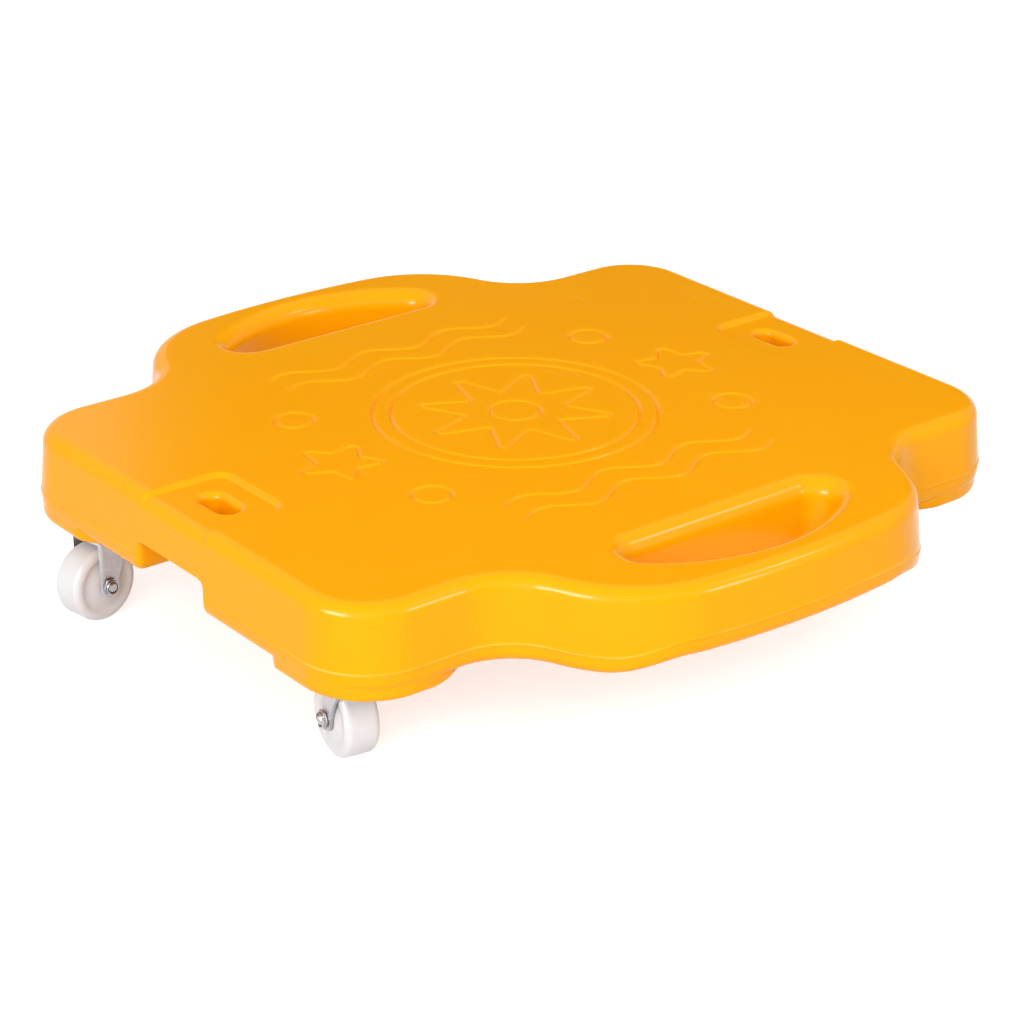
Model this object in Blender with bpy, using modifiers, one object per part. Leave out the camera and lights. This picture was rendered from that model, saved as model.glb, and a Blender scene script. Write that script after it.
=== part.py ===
# Scooter board: a hollow moulded deck with two hand grips, on four swivel casters.
# Metres, +Z up. The origin is on the floor under the middle of the deck. X runs from one
# straight side to the other, and Y from one hand grip to the other.

import math

import bmesh
import bpy
from mathutils import Matrix

# Driving dimensions of the deck
BOARD_WIDTH = 0.400  # between the straight sides
BOARD_LENGTH = 0.420  # between the outer faces of the grips
LOBE_LENGTH = 0.285  # between the outer faces of two corner lobes
LOBE_RADIUS = 0.036
NECK_RADIUS = 0.034
SHOULDER_RADIUS = 0.067
SHOULDER_SPACING = 0.090  # between the centres of a grip's two shoulders
GRIP_ARC_RADIUS = 0.450
DECK_TOP = 0.095  # above the floor
DECK_THICKNESS = 0.040
PARTING_ABOVE_BASE = 0.009
PARTING_STEP = 0.0004
DRAFT = 0.0025  # how far the side leans in from the parting line to its rounded top edge
TOP_ROUND = 0.009
BASE_ROUND = 0.005
DECK_WALL = 0.0042
HOLLOW_CORNER = 0.018
VENT_RADIUS = 0.004

# Driving dimensions of the hand holes and of the raised underside of the grips
GRIP_BAR = 0.020  # from the hand hole to the outer face of the grip
HAND_HOLE_WIDTH = 0.043
HAND_HOLE_ARC_RADIUS = 0.095
HAND_HOLE_CORNER = 0.013
HAND_HOLE_ROUND = 0.0065  # of its upper edge
GRIP_LIFT = 0.007
GRIP_LIFT_LENGTH = 0.124  # of the part that is raised in full
GRIP_LIFT_EASE = 0.033  # over which it comes down on each side

# Driving dimensions of the link sites in the middle of the straight sides
LINK_RECESS_WIDTH = 0.052
LINK_RECESS_REACH = 0.048
LINK_RECESS_DEPTH = 0.0022
LINK_RECESS_CORNER = 0.008
LINK_SLOT_WIDTH = 0.012
LINK_SLOT_LENGTH = 0.025
LINK_SLOT_FROM_SIDE = 0.029
LINK_TUNNEL_WIDTH = 0.056
LINK_TUNNEL_HEIGHT = 0.0165
LINK_TUNNEL_CORNER = 0.004

# Driving dimensions of the engraved lines
LINE_WIDTH = 0.0024
LINE_DEPTH = 0.0010
OUTER_RING_RADIUS = 0.070
INNER_RING_RADIUS = 0.061
CENTRE_STAR_RADIUS = 0.053
CENTRE_STAR_WAIST = 0.024
CENTRE_STAR_POINTS = 8
CENTRE_RING_RADIUS = 0.0125
SIDE_STAR_RADIUS = 0.024
SIDE_STAR_WAIST = 0.011
SIDE_STAR_POINTS = 5
SIDE_STAR_OUT = 0.104  # of its centre from the middle of the deck
BUBBLE_RADIUS = 0.0095
BUBBLE_X = 0.092
BUBBLE_Y = 0.056
WAVE_LENGTH = 0.050
WAVE_HEIGHT = 0.0055
WAVE_COUNT = 3
WAVE_Y = (0.088, 0.104)

# Driving dimensions of the caster pods and of the casters
WHEEL_DIAMETER = 0.038
WHEEL_WIDTH = 0.017
HUB_RADIUS = 0.0072
FACE_RADIUS = 0.014
FACE_DISH = 0.0021  # how far the wheel's face sits in from the side of its tread
TREAD_ROUND = 0.0034
CASTER_HEIGHT = 0.050
TRAIL = 0.0155
SWIVEL_FROM_SIDE = 0.0335
SWIVEL_FROM_LOBE = 0.0395
POD_RADIUS = 0.0415
POD_FROM_SIDE = 0.0395  # its centre
POD_FROM_LOBE = 0.0422  # its centre
POD_FROM_EDGE = 0.0002
PLATE_LENGTH = 0.044
PLATE_WIDTH = 0.034
PLATE_THICKNESS = 0.0017
PLATE_CORNER = 0.004
SHEET = 0.0014  # thickness of the fork's pressed steel
SWIVEL_RADIUS = 0.015
FORK_FRONT = 0.0113  # from the swivel axis to the front of a leg
LEG_CURVE = 0.004  # how far the leg's hollow front edge stays from its square corner
BALL_RADIUS = 0.00125
RACE_DEPTH = 0.0014
KINGPIN_RADIUS = 0.0039
KINGPIN_HEAD_RADIUS = 0.0062
KINGPIN_HEAD = 0.0018
KINGPIN_CHAMFER = 0.0008
BOLT_RADIUS = 0.0025
BOLT_HEAD = 0.0024
BOLT_PAST_NUT = 0.0003
BOLT_CHAMFER = 0.0002
NUT_ACROSS_FLATS = 0.008
NUT_THICKNESS = 0.0025
NUT_ROUND = 0.0004
SLEEVE_WALL = 0.0007
SCREW_RADIUS = 0.0016
SCREW_HEAD_RADIUS = 0.0031
SCREW_HEAD = 0.0018
SCREW_HEAD_CHAMFER = 0.0009
SCREW_LENGTH = 0.0085
SCREW_TIP = 0.0017
SCREW_EDGE = 0.0055  # from a screw's centre to the plate's edges

# Clearances
SEAT_GAP = 0.0003  # between two pieces that touch
RUNNING_GAP = 0.0003  # between a shaft and its hole
HUB_GAP = 0.0006  # between the wheel's hub and a fork leg
TREAD_GAP = 0.0009  # between the wheel's tread and a fork leg
SCREW_HOLE_GAP = 0.0005
SCREW_TIP_GAP = 0.0006
KINGPIN_HEAD_GAP = 0.0006  # above the kingpin's head
KINGPIN_SIDE_GAP = 0.0012  # round the kingpin's head

# The way each wheel trails at rest, in degrees from +X
CASTERS = {
    "rear_left": (-1, 1, 189.5),
    "front_left": (-1, -1, 80.0),
    "front_right": (1, -1, 120.0),
    "rear_right": (1, 1, 350.5),
}

# Facets
LOBE_STEPS = 7
NECK_STEPS = 4
SHOULDER_STEPS = 8
GRIP_STEPS = 2
TOP_ROUND_STEPS = 4
BASE_ROUND_STEPS = 2
HOLE_CORNER_STEPS = 6
HOLE_ARC_STEPS = 4
HOLE_ROUND_STEPS = 3
LIFT_STEPS = 3
POD_STEPS = 40
POD_ROUND_STEPS = 3
BOX_CORNER_STEPS = 3
SLOT_STEPS = 6
RING_STEPS = 48
SMALL_RING_STEPS = 12
WAVE_STEPS = 8  # in one wave
WHEEL_STEPS = 28  # a multiple of four, so that it stands on a corner
SWIVEL_STEPS = 20
BALL_RING_STEPS = 16
BALL_STEPS = 6
SHAFT_STEPS = 12
SCREW_STEPS = 6
LEG_BOSS_STEPS = 6
LEG_CURVE_STEPS = 4

HALF_WIDTH = BOARD_WIDTH / 2
HALF_LENGTH = BOARD_LENGTH / 2
DECK_BASE = DECK_TOP - DECK_THICKNESS
PARTING = DECK_BASE + PARTING_ABOVE_BASE
SEAT = CASTER_HEIGHT
POD_X = HALF_WIDTH - POD_FROM_SIDE
POD_Y = LOBE_LENGTH / 2 - POD_FROM_LOBE
SWIVEL_X = HALF_WIDTH - SWIVEL_FROM_SIDE
SWIVEL_Y = LOBE_LENGTH / 2 - SWIVEL_FROM_LOBE
AXLE_HEIGHT = WHEEL_DIAMETER / 2
OVERCUT = 0.01  # how far a cutter passes the face that it cuts
OVERLAP = 0.0005  # how far two forms of one solid reach into each other
TINY = 0.00001


# Materials


def material(name, colour, roughness, metallic=0.0):
    made = bpy.data.materials.new(name)
    made.use_nodes = True
    shader = made.node_tree.nodes["Principled BSDF"]
    shader.inputs["Base Color"].default_value = (*colour, 1.0)
    shader.inputs["Roughness"].default_value = roughness
    shader.inputs["Metallic"].default_value = metallic
    made.diffuse_color = (*colour, 1.0)
    return made


# Modelling helpers


def clear_scene():
    for obj in list(bpy.data.objects):
        bpy.data.objects.remove(obj, do_unlink=True)


def collection(name):
    made = bpy.data.collections.new(name)
    bpy.context.scene.collection.children.link(made)
    return made


def add(name, mesh, where):
    obj = bpy.data.objects.new(name, mesh)
    where.objects.link(obj)
    return obj


def baked(obj):
    """The object's evaluated mesh, welded, with the object removed."""
    graph = bpy.context.evaluated_depsgraph_get()
    mesh = bpy.data.meshes.new_from_object(obj.evaluated_get(graph))
    mesh.transform(obj.matrix_world)
    bm = bmesh.new()
    bm.from_mesh(mesh)
    bmesh.ops.remove_doubles(bm, verts=bm.verts, dist=1e-6)
    bmesh.ops.recalc_face_normals(bm, faces=bm.faces)
    bm.to_mesh(mesh)
    bm.free()
    bpy.data.objects.remove(obj, do_unlink=True)
    return mesh


def slab(loops, low, high, rounding=0.0):
    """A flat outline with holes, between two heights, with its edges eased."""
    curve = bpy.data.curves.new("outline", "CURVE")
    curve.dimensions = "2D"
    curve.fill_mode = "BOTH"
    curve.extrude = (high - low) / 2 - rounding
    curve.bevel_depth = rounding
    curve.bevel_resolution = 0
    curve.offset = -rounding
    for loop in loops:
        spline = curve.splines.new("POLY")
        spline.points.add(len(loop) - 1)
        for point, (x, y) in zip(spline.points, loop):
            point.co = (x, y, 0.0, 1.0)
        spline.use_cyclic_u = True
    obj = add("outline", curve, WORK)
    obj.location.z = (low + high) / 2
    bpy.context.view_layer.update()
    return baked(obj)


def turned(profile, steps):
    """A profile of (radius, height) points, top to bottom, turned about Z."""
    mesh = bpy.data.meshes.new("profile")
    closed = profile[0][0] > 0 and profile[-1][0] > 0
    edges = [(i, i + 1) for i in range(len(profile) - 1)]
    if closed:
        edges.append((len(profile) - 1, 0))
    mesh.from_pydata([(r, 0.0, z) for r, z in profile], edges, [])
    obj = add("turned", mesh, WORK)
    screw = obj.modifiers.new("Screw", "SCREW")
    screw.steps = steps
    screw.render_steps = steps
    screw.use_merge_vertices = True
    screw.merge_threshold = 1e-6
    bpy.context.view_layer.update()
    return baked(obj)


def solid(bm, name):
    bmesh.ops.recalc_face_normals(bm, faces=bm.faces)
    mesh = bpy.data.meshes.new(name)
    bm.to_mesh(mesh)
    bm.free()
    return mesh


def lofted(rings):
    """A closed solid through rings of one point count, each a loop and its height."""
    bm = bmesh.new()
    levels = [[bm.verts.new((x, y, z)) for x, y in loop] for loop, z in rings]
    for low, high in zip(levels, levels[1:]):
        for i in range(len(low)):
            bm.faces.new((low[i - 1], low[i], high[i], high[i - 1]))
    bm.faces.new(levels[0])
    bm.faces.new(levels[-1])
    return solid(bm, "lofted")


def prism(loop, low, high):
    return lofted([(loop, low), (loop, high)])


def combined(mesh, others, operation):
    """The mesh with each other mesh added to it, cut from it or shared with it."""
    obj = add("combined", mesh, WORK)
    helpers = [add("helper", other, WORK) for other in others]
    for helper in helpers:
        boolean = obj.modifiers.new("Boolean", "BOOLEAN")
        boolean.operation = operation
        boolean.solver = "EXACT"
        boolean.object = helper
    bpy.context.view_layer.update()
    result = baked(obj)
    for helper in helpers:
        bpy.data.objects.remove(helper, do_unlink=True)
    return result


def joined(meshes):
    """Separate solids in one mesh, for use as one cutter."""
    bm = bmesh.new()
    for mesh in meshes:
        bm.from_mesh(mesh)
    return solid(bm, "joined")


def moved(mesh, matrix):
    copy = mesh.copy()
    copy.transform(matrix)
    return copy


def arc(cx, cy, radius, start, end, steps):
    """Points on an arc, angles in degrees, both ends included."""
    points = []
    for i in range(steps + 1):
        angle = math.radians(start + (end - start) * i / steps)
        points.append((cx + radius * math.cos(angle), cy + radius * math.sin(angle)))
    return points


def circle(cx, cy, radius, steps):
    return arc(cx, cy, radius, 0, 360, steps)[:-1]


def rounded_box(low_x, high_x, low_y, high_y, radius, steps):
    points = arc(high_x - radius, high_y - radius, radius, 0, 90, steps)
    points += arc(low_x + radius, high_y - radius, radius, 90, 180, steps)
    points += arc(low_x + radius, low_y + radius, radius, 180, 270, steps)
    points += arc(high_x - radius, low_y + radius, radius, 270, 360, steps)
    return points


def mirrored_loop(quarter):
    """A quarter outline, from the X axis to the Y axis, mirrored into a whole loop."""
    half = quarter + [(-x, y) for x, y in reversed(quarter) if x > TINY]
    return half + [(x, -y) for x, y in reversed(half) if y > TINY]


# Plan of the deck


def deck_outline(inset):
    """The deck's plan, moved inwards by the inset."""
    edge = LOBE_LENGTH / 2
    lobe_x = HALF_WIDTH - LOBE_RADIUS
    lobe_y = edge - LOBE_RADIUS
    shoulder_x = SHOULDER_SPACING / 2
    arc_y = HALF_LENGTH - GRIP_ARC_RADIUS
    reach = GRIP_ARC_RADIUS - SHOULDER_RADIUS
    shoulder_y = arc_y + math.sqrt(reach**2 - shoulder_x**2)
    neck_y = edge + NECK_RADIUS
    rise = neck_y - shoulder_y
    run = math.sqrt((NECK_RADIUS + SHOULDER_RADIUS) ** 2 - rise**2)
    neck_x = shoulder_x + run
    turn = math.degrees(math.atan2(rise, run))
    tangent = math.degrees(math.atan2(shoulder_y - arc_y, shoulder_x))
    shoulder = SHOULDER_RADIUS - inset
    quarter = arc(lobe_x, lobe_y, LOBE_RADIUS - inset, 0, 90, LOBE_STEPS)
    quarter += arc(neck_x, neck_y, NECK_RADIUS + inset, -90, turn - 180, NECK_STEPS)
    quarter += arc(shoulder_x, shoulder_y, shoulder, turn, tangent, SHOULDER_STEPS)[1:]
    quarter += arc(0, arc_y, GRIP_ARC_RADIUS - inset, tangent, 90, GRIP_STEPS)[1:]
    return mirrored_loop(quarter)


def hand_hole(side, outset):
    """The plan of a hand hole, widened by the outset. Side is 1 or -1."""
    high = HALF_LENGTH - GRIP_BAR
    low = high - HAND_HOLE_WIDTH
    arc_y = high - HAND_HOLE_ARC_RADIUS
    corner_y = low + HAND_HOLE_CORNER
    reach = HAND_HOLE_ARC_RADIUS - HAND_HOLE_CORNER
    corner_x = math.sqrt(reach**2 - (corner_y - arc_y) ** 2)
    tangent = math.degrees(math.atan2(corner_y - arc_y, corner_x))
    corner = HAND_HOLE_CORNER + outset
    half = arc(corner_x, corner_y, corner, -90, tangent, HOLE_CORNER_STEPS)
    half += arc(0, arc_y, HAND_HOLE_ARC_RADIUS + outset, tangent, 90, HOLE_ARC_STEPS)[1:]
    loop = half + [(-x, y) for x, y in reversed(half) if x > TINY]
    return [(x, side * y) for x, y in loop]


# Body of the deck, with its hand holes, before anything is added below it


def rounding(radius, steps, start, end):
    """How far in and how far along a rounded edge is, at steps through its arc."""
    return [(radius - x, radius - y) for x, y in arc(0, 0, radius, start, end, steps)]


def base_rings(base, inset):
    """Rings of a rounded lower edge, as an inset and a height."""
    return [(inset + i, base + z) for z, i in rounding(BASE_ROUND, BASE_ROUND_STEPS, 0, 90)]


def deck_block():
    """The deck's sides: rounded below, stepped at the parting line, leaning in above it."""
    rings = base_rings(DECK_BASE, PARTING_STEP)
    rings += [(PARTING_STEP, PARTING), (0.0, PARTING)]
    top = rounding(TOP_ROUND, TOP_ROUND_STEPS, 0, 90)
    rings += [(DRAFT + i, DECK_TOP - z) for i, z in top]
    return lofted([(deck_outline(inset), z) for inset, z in rings])


def hand_hole_cutter(side):
    rings = [(BASE_ROUND, DECK_BASE - OVERCUT)] + base_rings(DECK_BASE, 0.0)
    top = rounding(HAND_HOLE_ROUND, HOLE_ROUND_STEPS, 0, 90)
    rings += [(i, DECK_TOP - z) for i, z in top]
    rings += [(HAND_HOLE_ROUND, DECK_TOP + OVERCUT)]
    return lofted([(hand_hole(side, outset), z) for outset, z in rings])


GRIP_INNER = HALF_LENGTH - GRIP_BAR
LIFT_START = GRIP_INNER - HAND_HOLE_WIDTH
LIFT_FULL = GRIP_LIFT_LENGTH / 2
LIFT_END = LIFT_FULL + GRIP_LIFT_EASE


def eased(value, start, end):
    """0 at the start, 1 at the end, and smooth between them."""
    t = min(max((value - start) / (end - start), 0.0), 1.0)
    return t * t * (3 - 2 * t)


def lift(x, y):
    """How far the underside is raised under the middle of a grip."""
    across = eased(abs(y), LIFT_START, GRIP_INNER)
    return GRIP_LIFT * across * eased(abs(x), LIFT_END, LIFT_FULL)


def raised_under_grips(mesh):
    """Lifts what is at or below the parting line by the rise of the grips' underside."""
    bm = bmesh.new()
    bm.from_mesh(mesh)
    planes = []
    for i in range(LIFT_STEPS + 1):
        share = i / LIFT_STEPS
        for side in (-1, 1):
            y = side * (LIFT_START + (GRIP_INNER - LIFT_START) * share)
            planes.append(((0, y, 0), (0, 1, 0)))
            planes.append(((side * (LIFT_FULL + GRIP_LIFT_EASE * share), 0, 0), (1, 0, 0)))
    for place, normal in planes:
        faces = [face for face in bm.faces if face.calc_center_median().z < PARTING]
        faces = [face for face in faces if max(abs(v.co.y) for v in face.verts) > LIFT_START]
        near = {v for f in faces for v in f.verts} | {e for f in faces for e in f.edges}
        bmesh.ops.bisect_plane(
            bm, geom=list(near) + faces, dist=1e-6, plane_co=place, plane_no=normal
        )
    bmesh.ops.triangulate(bm, faces=bm.faces)
    for vert in bm.verts:
        if vert.co.z < PARTING + TINY:
            vert.co.z += lift(vert.co.x, vert.co.y)
    return solid(bm, "raised")


# Pods under the corner lobes, which carry the casters: round, but flush with the lobes


def pods():
    profile = [(0.0, PARTING), (POD_RADIUS, PARTING)]
    corner = POD_RADIUS - BASE_ROUND
    profile += arc(corner, SEAT + BASE_ROUND, BASE_ROUND, 0, -90, POD_ROUND_STEPS)
    profile.append((0.0, SEAT))
    rings = base_rings(SEAT, PARTING_STEP + POD_FROM_EDGE)
    rings += [(PARTING_STEP + POD_FROM_EDGE, PARTING + OVERCUT)]
    limit = lofted([(deck_outline(inset), z) for inset, z in rings])
    round_pods = at_corners(turned(profile, POD_STEPS), POD_X, POD_Y)
    return [combined(limit.copy(), [pod], "INTERSECT") for pod in round_pods]


def at_corners(mesh, x, y):
    return [
        moved(mesh, Matrix.Translation((side_x * x, side_y * y, 0.0)))
        for side_x, side_y, _ in CASTERS.values()
    ]


# Link sites: a shallow recess in the top, a slot through its floor, and a tunnel under it


def link_cutters(side):
    def box(low, high, half, radius, steps, z_low, z_high):
        xs = sorted((side * low, side * high))
        return slab([rounded_box(xs[0], xs[1], -half, half, radius, steps)], z_low, z_high)

    past = HALF_WIDTH + OVERCUT
    recess = box(
        HALF_WIDTH - LINK_RECESS_REACH,
        past,
        LINK_RECESS_WIDTH / 2,
        LINK_RECESS_CORNER,
        BOX_CORNER_STEPS,
        DECK_TOP - LINK_RECESS_DEPTH,
        DECK_TOP + OVERCUT,
    )
    slot_x = HALF_WIDTH - LINK_SLOT_FROM_SIDE
    slot = box(
        slot_x - LINK_SLOT_WIDTH / 2,
        slot_x + LINK_SLOT_WIDTH / 2,
        LINK_SLOT_LENGTH / 2,
        LINK_SLOT_WIDTH / 2 - TINY,
        SLOT_STEPS,
        DECK_BASE - OVERCUT,
        DECK_TOP + OVERCUT,
    )
    tunnel = box(
        HALF_WIDTH - LINK_RECESS_REACH,
        past,
        LINK_TUNNEL_WIDTH / 2,
        LINK_TUNNEL_CORNER,
        BOX_CORNER_STEPS,
        DECK_BASE - OVERCUT,
        DECK_BASE + LINK_TUNNEL_HEIGHT,
    )
    return [recess, slot, tunnel]


# Engraved lines on the top: a star in two rings, side stars, bubbles and waves


def line_cutter(points, closed=True):
    """A V-shaped cutter along a run of points on the deck's top, mitred at its corners."""
    bm = bmesh.new()
    rings = []
    count = len(points)
    for i, (x, y) in enumerate(points):
        before = points[i - 1] if closed or i > 0 else None
        after = points[(i + 1) % count] if closed or i < count - 1 else None
        steps = []
        if before:
            steps.append((x - before[0], y - before[1]))
        if after:
            steps.append((after[0] - x, after[1] - y))
        sides = [(-dy / math.hypot(dx, dy), dx / math.hypot(dx, dy)) for dx, dy in steps]
        mean_x = sum(side[0] for side in sides) / len(sides)
        mean_y = sum(side[1] for side in sides) / len(sides)
        square = mean_x**2 + mean_y**2
        out_x, out_y = mean_x / square * LINE_WIDTH, mean_y / square * LINE_WIDTH
        ring = [
            bm.verts.new((x - out_x, y - out_y, DECK_TOP + LINE_DEPTH)),
            bm.verts.new((x, y, DECK_TOP - LINE_DEPTH)),
            bm.verts.new((x + out_x, y + out_y, DECK_TOP + LINE_DEPTH)),
        ]
        rings.append(ring)
    pairs = list(zip(rings, rings[1:]))
    if closed:
        pairs.append((rings[-1], rings[0]))
    else:
        bm.faces.new(rings[0])
        bm.faces.new(rings[-1])
    for low, high in pairs:
        for k in range(len(low)):
            bm.faces.new((low[k - 1], low[k], high[k], high[k - 1]))
    return solid(bm, "line")


def star(cx, cy, radius, waist, points, turn):
    found = []
    for i in range(2 * points):
        reach = waist if i % 2 else radius
        angle = math.radians(turn + 180 * i / points)
        found.append((cx + reach * math.cos(angle), cy + reach * math.sin(angle)))
    return found


def wave(y):
    length = WAVE_LENGTH * WAVE_COUNT
    steps = WAVE_STEPS * WAVE_COUNT
    shares = [i / steps for i in range(steps + 1)]
    return [
        (length * (t - 0.5), y + WAVE_HEIGHT * math.sin(math.tau * WAVE_COUNT * t)) for t in shares
    ]


def line_cutters():
    lines = [
        line_cutter(circle(0.0, 0.0, OUTER_RING_RADIUS, RING_STEPS)),
        line_cutter(circle(0.0, 0.0, INNER_RING_RADIUS, RING_STEPS)),
        line_cutter(circle(0.0, 0.0, CENTRE_RING_RADIUS, SMALL_RING_STEPS)),
        line_cutter(
            star(0.0, 0.0, CENTRE_STAR_RADIUS, CENTRE_STAR_WAIST, CENTRE_STAR_POINTS, 0.0)
        ),
    ]
    for side in (-1, 1):
        out = 90.0 - 90.0 * side
        lines.append(
            line_cutter(
                star(
                    side * SIDE_STAR_OUT,
                    0.0,
                    SIDE_STAR_RADIUS,
                    SIDE_STAR_WAIST,
                    SIDE_STAR_POINTS,
                    out,
                )
            )
        )
        for end in (-1, 1):
            bubble = circle(side * BUBBLE_X, end * BUBBLE_Y, BUBBLE_RADIUS, SMALL_RING_STEPS)
            lines.append(line_cutter(bubble))
        for y in WAVE_Y:
            lines.append(line_cutter(wave(side * y), closed=False))
    return joined(lines)


# Inside of the deck: one hollow that runs round the hand holes and stops short of the link
# sites, deeper between the grips, with a vent in the underside


def hollow():
    ceiling = DECK_TOP - DECK_WALL
    floor = DECK_BASE + DECK_WALL
    middle = floor + GRIP_LIFT
    inset = DRAFT + TOP_ROUND - DECK_WALL
    upper = prism(deck_outline(inset), middle, ceiling)
    low_x = HALF_WIDTH - inset - BASE_ROUND
    low_y = LIFT_START - BASE_ROUND - DECK_WALL
    plan = rounded_box(-low_x, low_x, -low_y, low_y, HOLLOW_CORNER, BOX_CORNER_STEPS)
    inside = combined(upper, [prism(plan, floor, middle + DECK_WALL)], "UNION")
    kept = [
        prism(hand_hole(side, DECK_WALL), floor - OVERCUT, ceiling + OVERCUT)
        for side in (-1, 1)
    ]
    past = HALF_WIDTH + OVERCUT
    site_y = LINK_TUNNEL_WIDTH / 2 + DECK_WALL
    for side in (-1, 1):
        low, high = sorted((side * (HALF_WIDTH - LINK_RECESS_REACH - DECK_WALL), side * past))
        plan = [(low, -site_y), (high, -site_y), (high, site_y), (low, site_y)]
        kept.append(prism(plan, floor - OVERCUT, ceiling + OVERCUT))
    inside = combined(inside, kept, "DIFFERENCE")
    around = circle(0.0, 0.0, VENT_RADIUS, SHAFT_STEPS)
    vent = prism(around, DECK_BASE - OVERCUT, floor + DECK_WALL)
    return combined(inside, [vent], "UNION")


def screw_places():
    along = PLATE_LENGTH / 2 - SCREW_EDGE
    across = PLATE_WIDTH / 2 - SCREW_EDGE
    return [(sx * along, sy * across) for sx in (-1, 1) for sy in (-1, 1)]


def seat_holes():
    """A relief for each kingpin's head and a pilot hole for each screw."""
    relief = slab(
        [circle(0.0, 0.0, KINGPIN_HEAD_RADIUS + KINGPIN_SIDE_GAP, SHAFT_STEPS)],
        SEAT - OVERCUT,
        SEAT + KINGPIN_HEAD + KINGPIN_HEAD_GAP,
    )
    top = SEAT - SEAT_GAP - PLATE_THICKNESS + SCREW_LENGTH + SCREW_TIP_GAP
    pilots = [
        slab([circle(x, y, SCREW_RADIUS + RUNNING_GAP, SCREW_STEPS)], SEAT - OVERCUT, top)
        for x, y in screw_places()
    ]
    return joined(at_corners(joined([relief] + pilots), SWIVEL_X, SWIVEL_Y))


def deck():
    block = combined(deck_block(), [hand_hole_cutter(side) for side in (-1, 1)], "DIFFERENCE")
    body = combined(raised_under_grips(block), pods(), "UNION")
    cutters = link_cutters(-1) + link_cutters(1) + [hollow(), seat_holes(), line_cutters()]
    return combined(body, cutters, "DIFFERENCE")


# Caster, with its swivel axis on Z, its seat at height 0 and its wheel trailing towards -X

PLATE_BASE = -SEAT_GAP - PLATE_THICKNESS
RACE_BASE = PLATE_BASE - RACE_DEPTH
BALL_CENTRE = RACE_BASE - SEAT_GAP - BALL_RADIUS
CROWN_TOP = BALL_CENTRE - BALL_RADIUS - SEAT_GAP
CROWN_BASE = CROWN_TOP - SHEET
BALL_CIRCLE = SWIVEL_RADIUS - SHEET - SEAT_GAP - 2 * BALL_RADIUS
LEG_INNER = WHEEL_WIDTH / 2 + TREAD_GAP
LEG_OUTER = LEG_INNER + SHEET
AXLE_Z = AXLE_HEIGHT - SEAT
HUB_HALF = LEG_INNER - HUB_GAP
SLEEVE_RADIUS = BOLT_RADIUS + RUNNING_GAP + SLEEVE_WALL
LEG_BOSS = NUT_ACROSS_FLATS / 2 + SHEET + RUNNING_GAP


def mount_plate():
    half_x, half_y = PLATE_LENGTH / 2, PLATE_WIDTH / 2
    plan = rounded_box(-half_x, half_x, -half_y, half_y, PLATE_CORNER, BASE_ROUND_STEPS)
    plate = prism(plan, PLATE_BASE, -SEAT_GAP)
    out = BALL_CIRCLE + BALL_RADIUS
    inner = BALL_CIRCLE - BALL_RADIUS
    top = PLATE_BASE + OVERLAP
    profile = [(inner, top), (out, top), (out, RACE_BASE), (inner, RACE_BASE)]
    race = turned(profile, SWIVEL_STEPS)
    radius = SCREW_RADIUS + SCREW_HOLE_GAP
    holes = [circle(x, y, radius, SCREW_STEPS) for x, y in screw_places()]
    holes.append(circle(0.0, 0.0, KINGPIN_RADIUS + RUNNING_GAP, SHAFT_STEPS))
    bores = [prism(hole, PLATE_BASE - OVERCUT, OVERCUT) for hole in holes]
    return combined(combined(plate, [race], "UNION"), [joined(bores)], "DIFFERENCE")


def ball_ring():
    section = circle(BALL_CIRCLE, BALL_CENTRE, BALL_RADIUS, BALL_STEPS)
    return turned(section[::-1], BALL_RING_STEPS)


def kingpin():
    head, radius = KINGPIN_HEAD_RADIUS, KINGPIN_RADIUS
    top = KINGPIN_HEAD
    low = CROWN_BASE - SEAT_GAP
    end = low - KINGPIN_HEAD
    profile = [
        (0.0, top),
        (head - KINGPIN_CHAMFER, top),
        (head, top - KINGPIN_CHAMFER),
        (head, 0.0),
        (radius, 0.0),
        (radius, low),
        (head, low),
        (head, end + KINGPIN_CHAMFER),
        (head - KINGPIN_CHAMFER, end),
        (0.0, end),
    ]
    return turned(profile, SHAFT_STEPS)


def upright(loop, low, high):
    """A prism whose plan lies in the plane of X and Z, from a low to a high Y."""
    mesh = prism(loop, low, high)
    mesh.transform(Matrix(((1, 0, 0, 0), (0, 0, 1, 0), (0, 1, 0, 0), (0, 0, 0, 1))))
    mesh.flip_normals()
    return mesh


def fork_leg(side):
    """A leg: upright at the back, hollowed at the front, round under the axle."""
    back = -TRAIL - LEG_BOSS
    front = -TRAIL + LEG_BOSS
    boss = arc(-TRAIL, AXLE_Z, LEG_BOSS, 0, -180, LEG_BOSS_STEPS)
    loop = boss + [(back, CROWN_TOP), (FORK_FRONT, CROWN_TOP)]
    for i in range(LEG_CURVE_STEPS):
        t = i / LEG_CURVE_STEPS
        near, middle, far = (1 - t) ** 2, 2 * t * (1 - t), t**2
        x = near * FORK_FRONT + middle * (front + LEG_CURVE) + far * front
        z = near * CROWN_BASE + middle * (CROWN_BASE - LEG_CURVE) + far * AXLE_Z
        loop.append((x, z))
    return upright(loop, *sorted((side * LEG_INNER, side * LEG_OUTER)))


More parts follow.
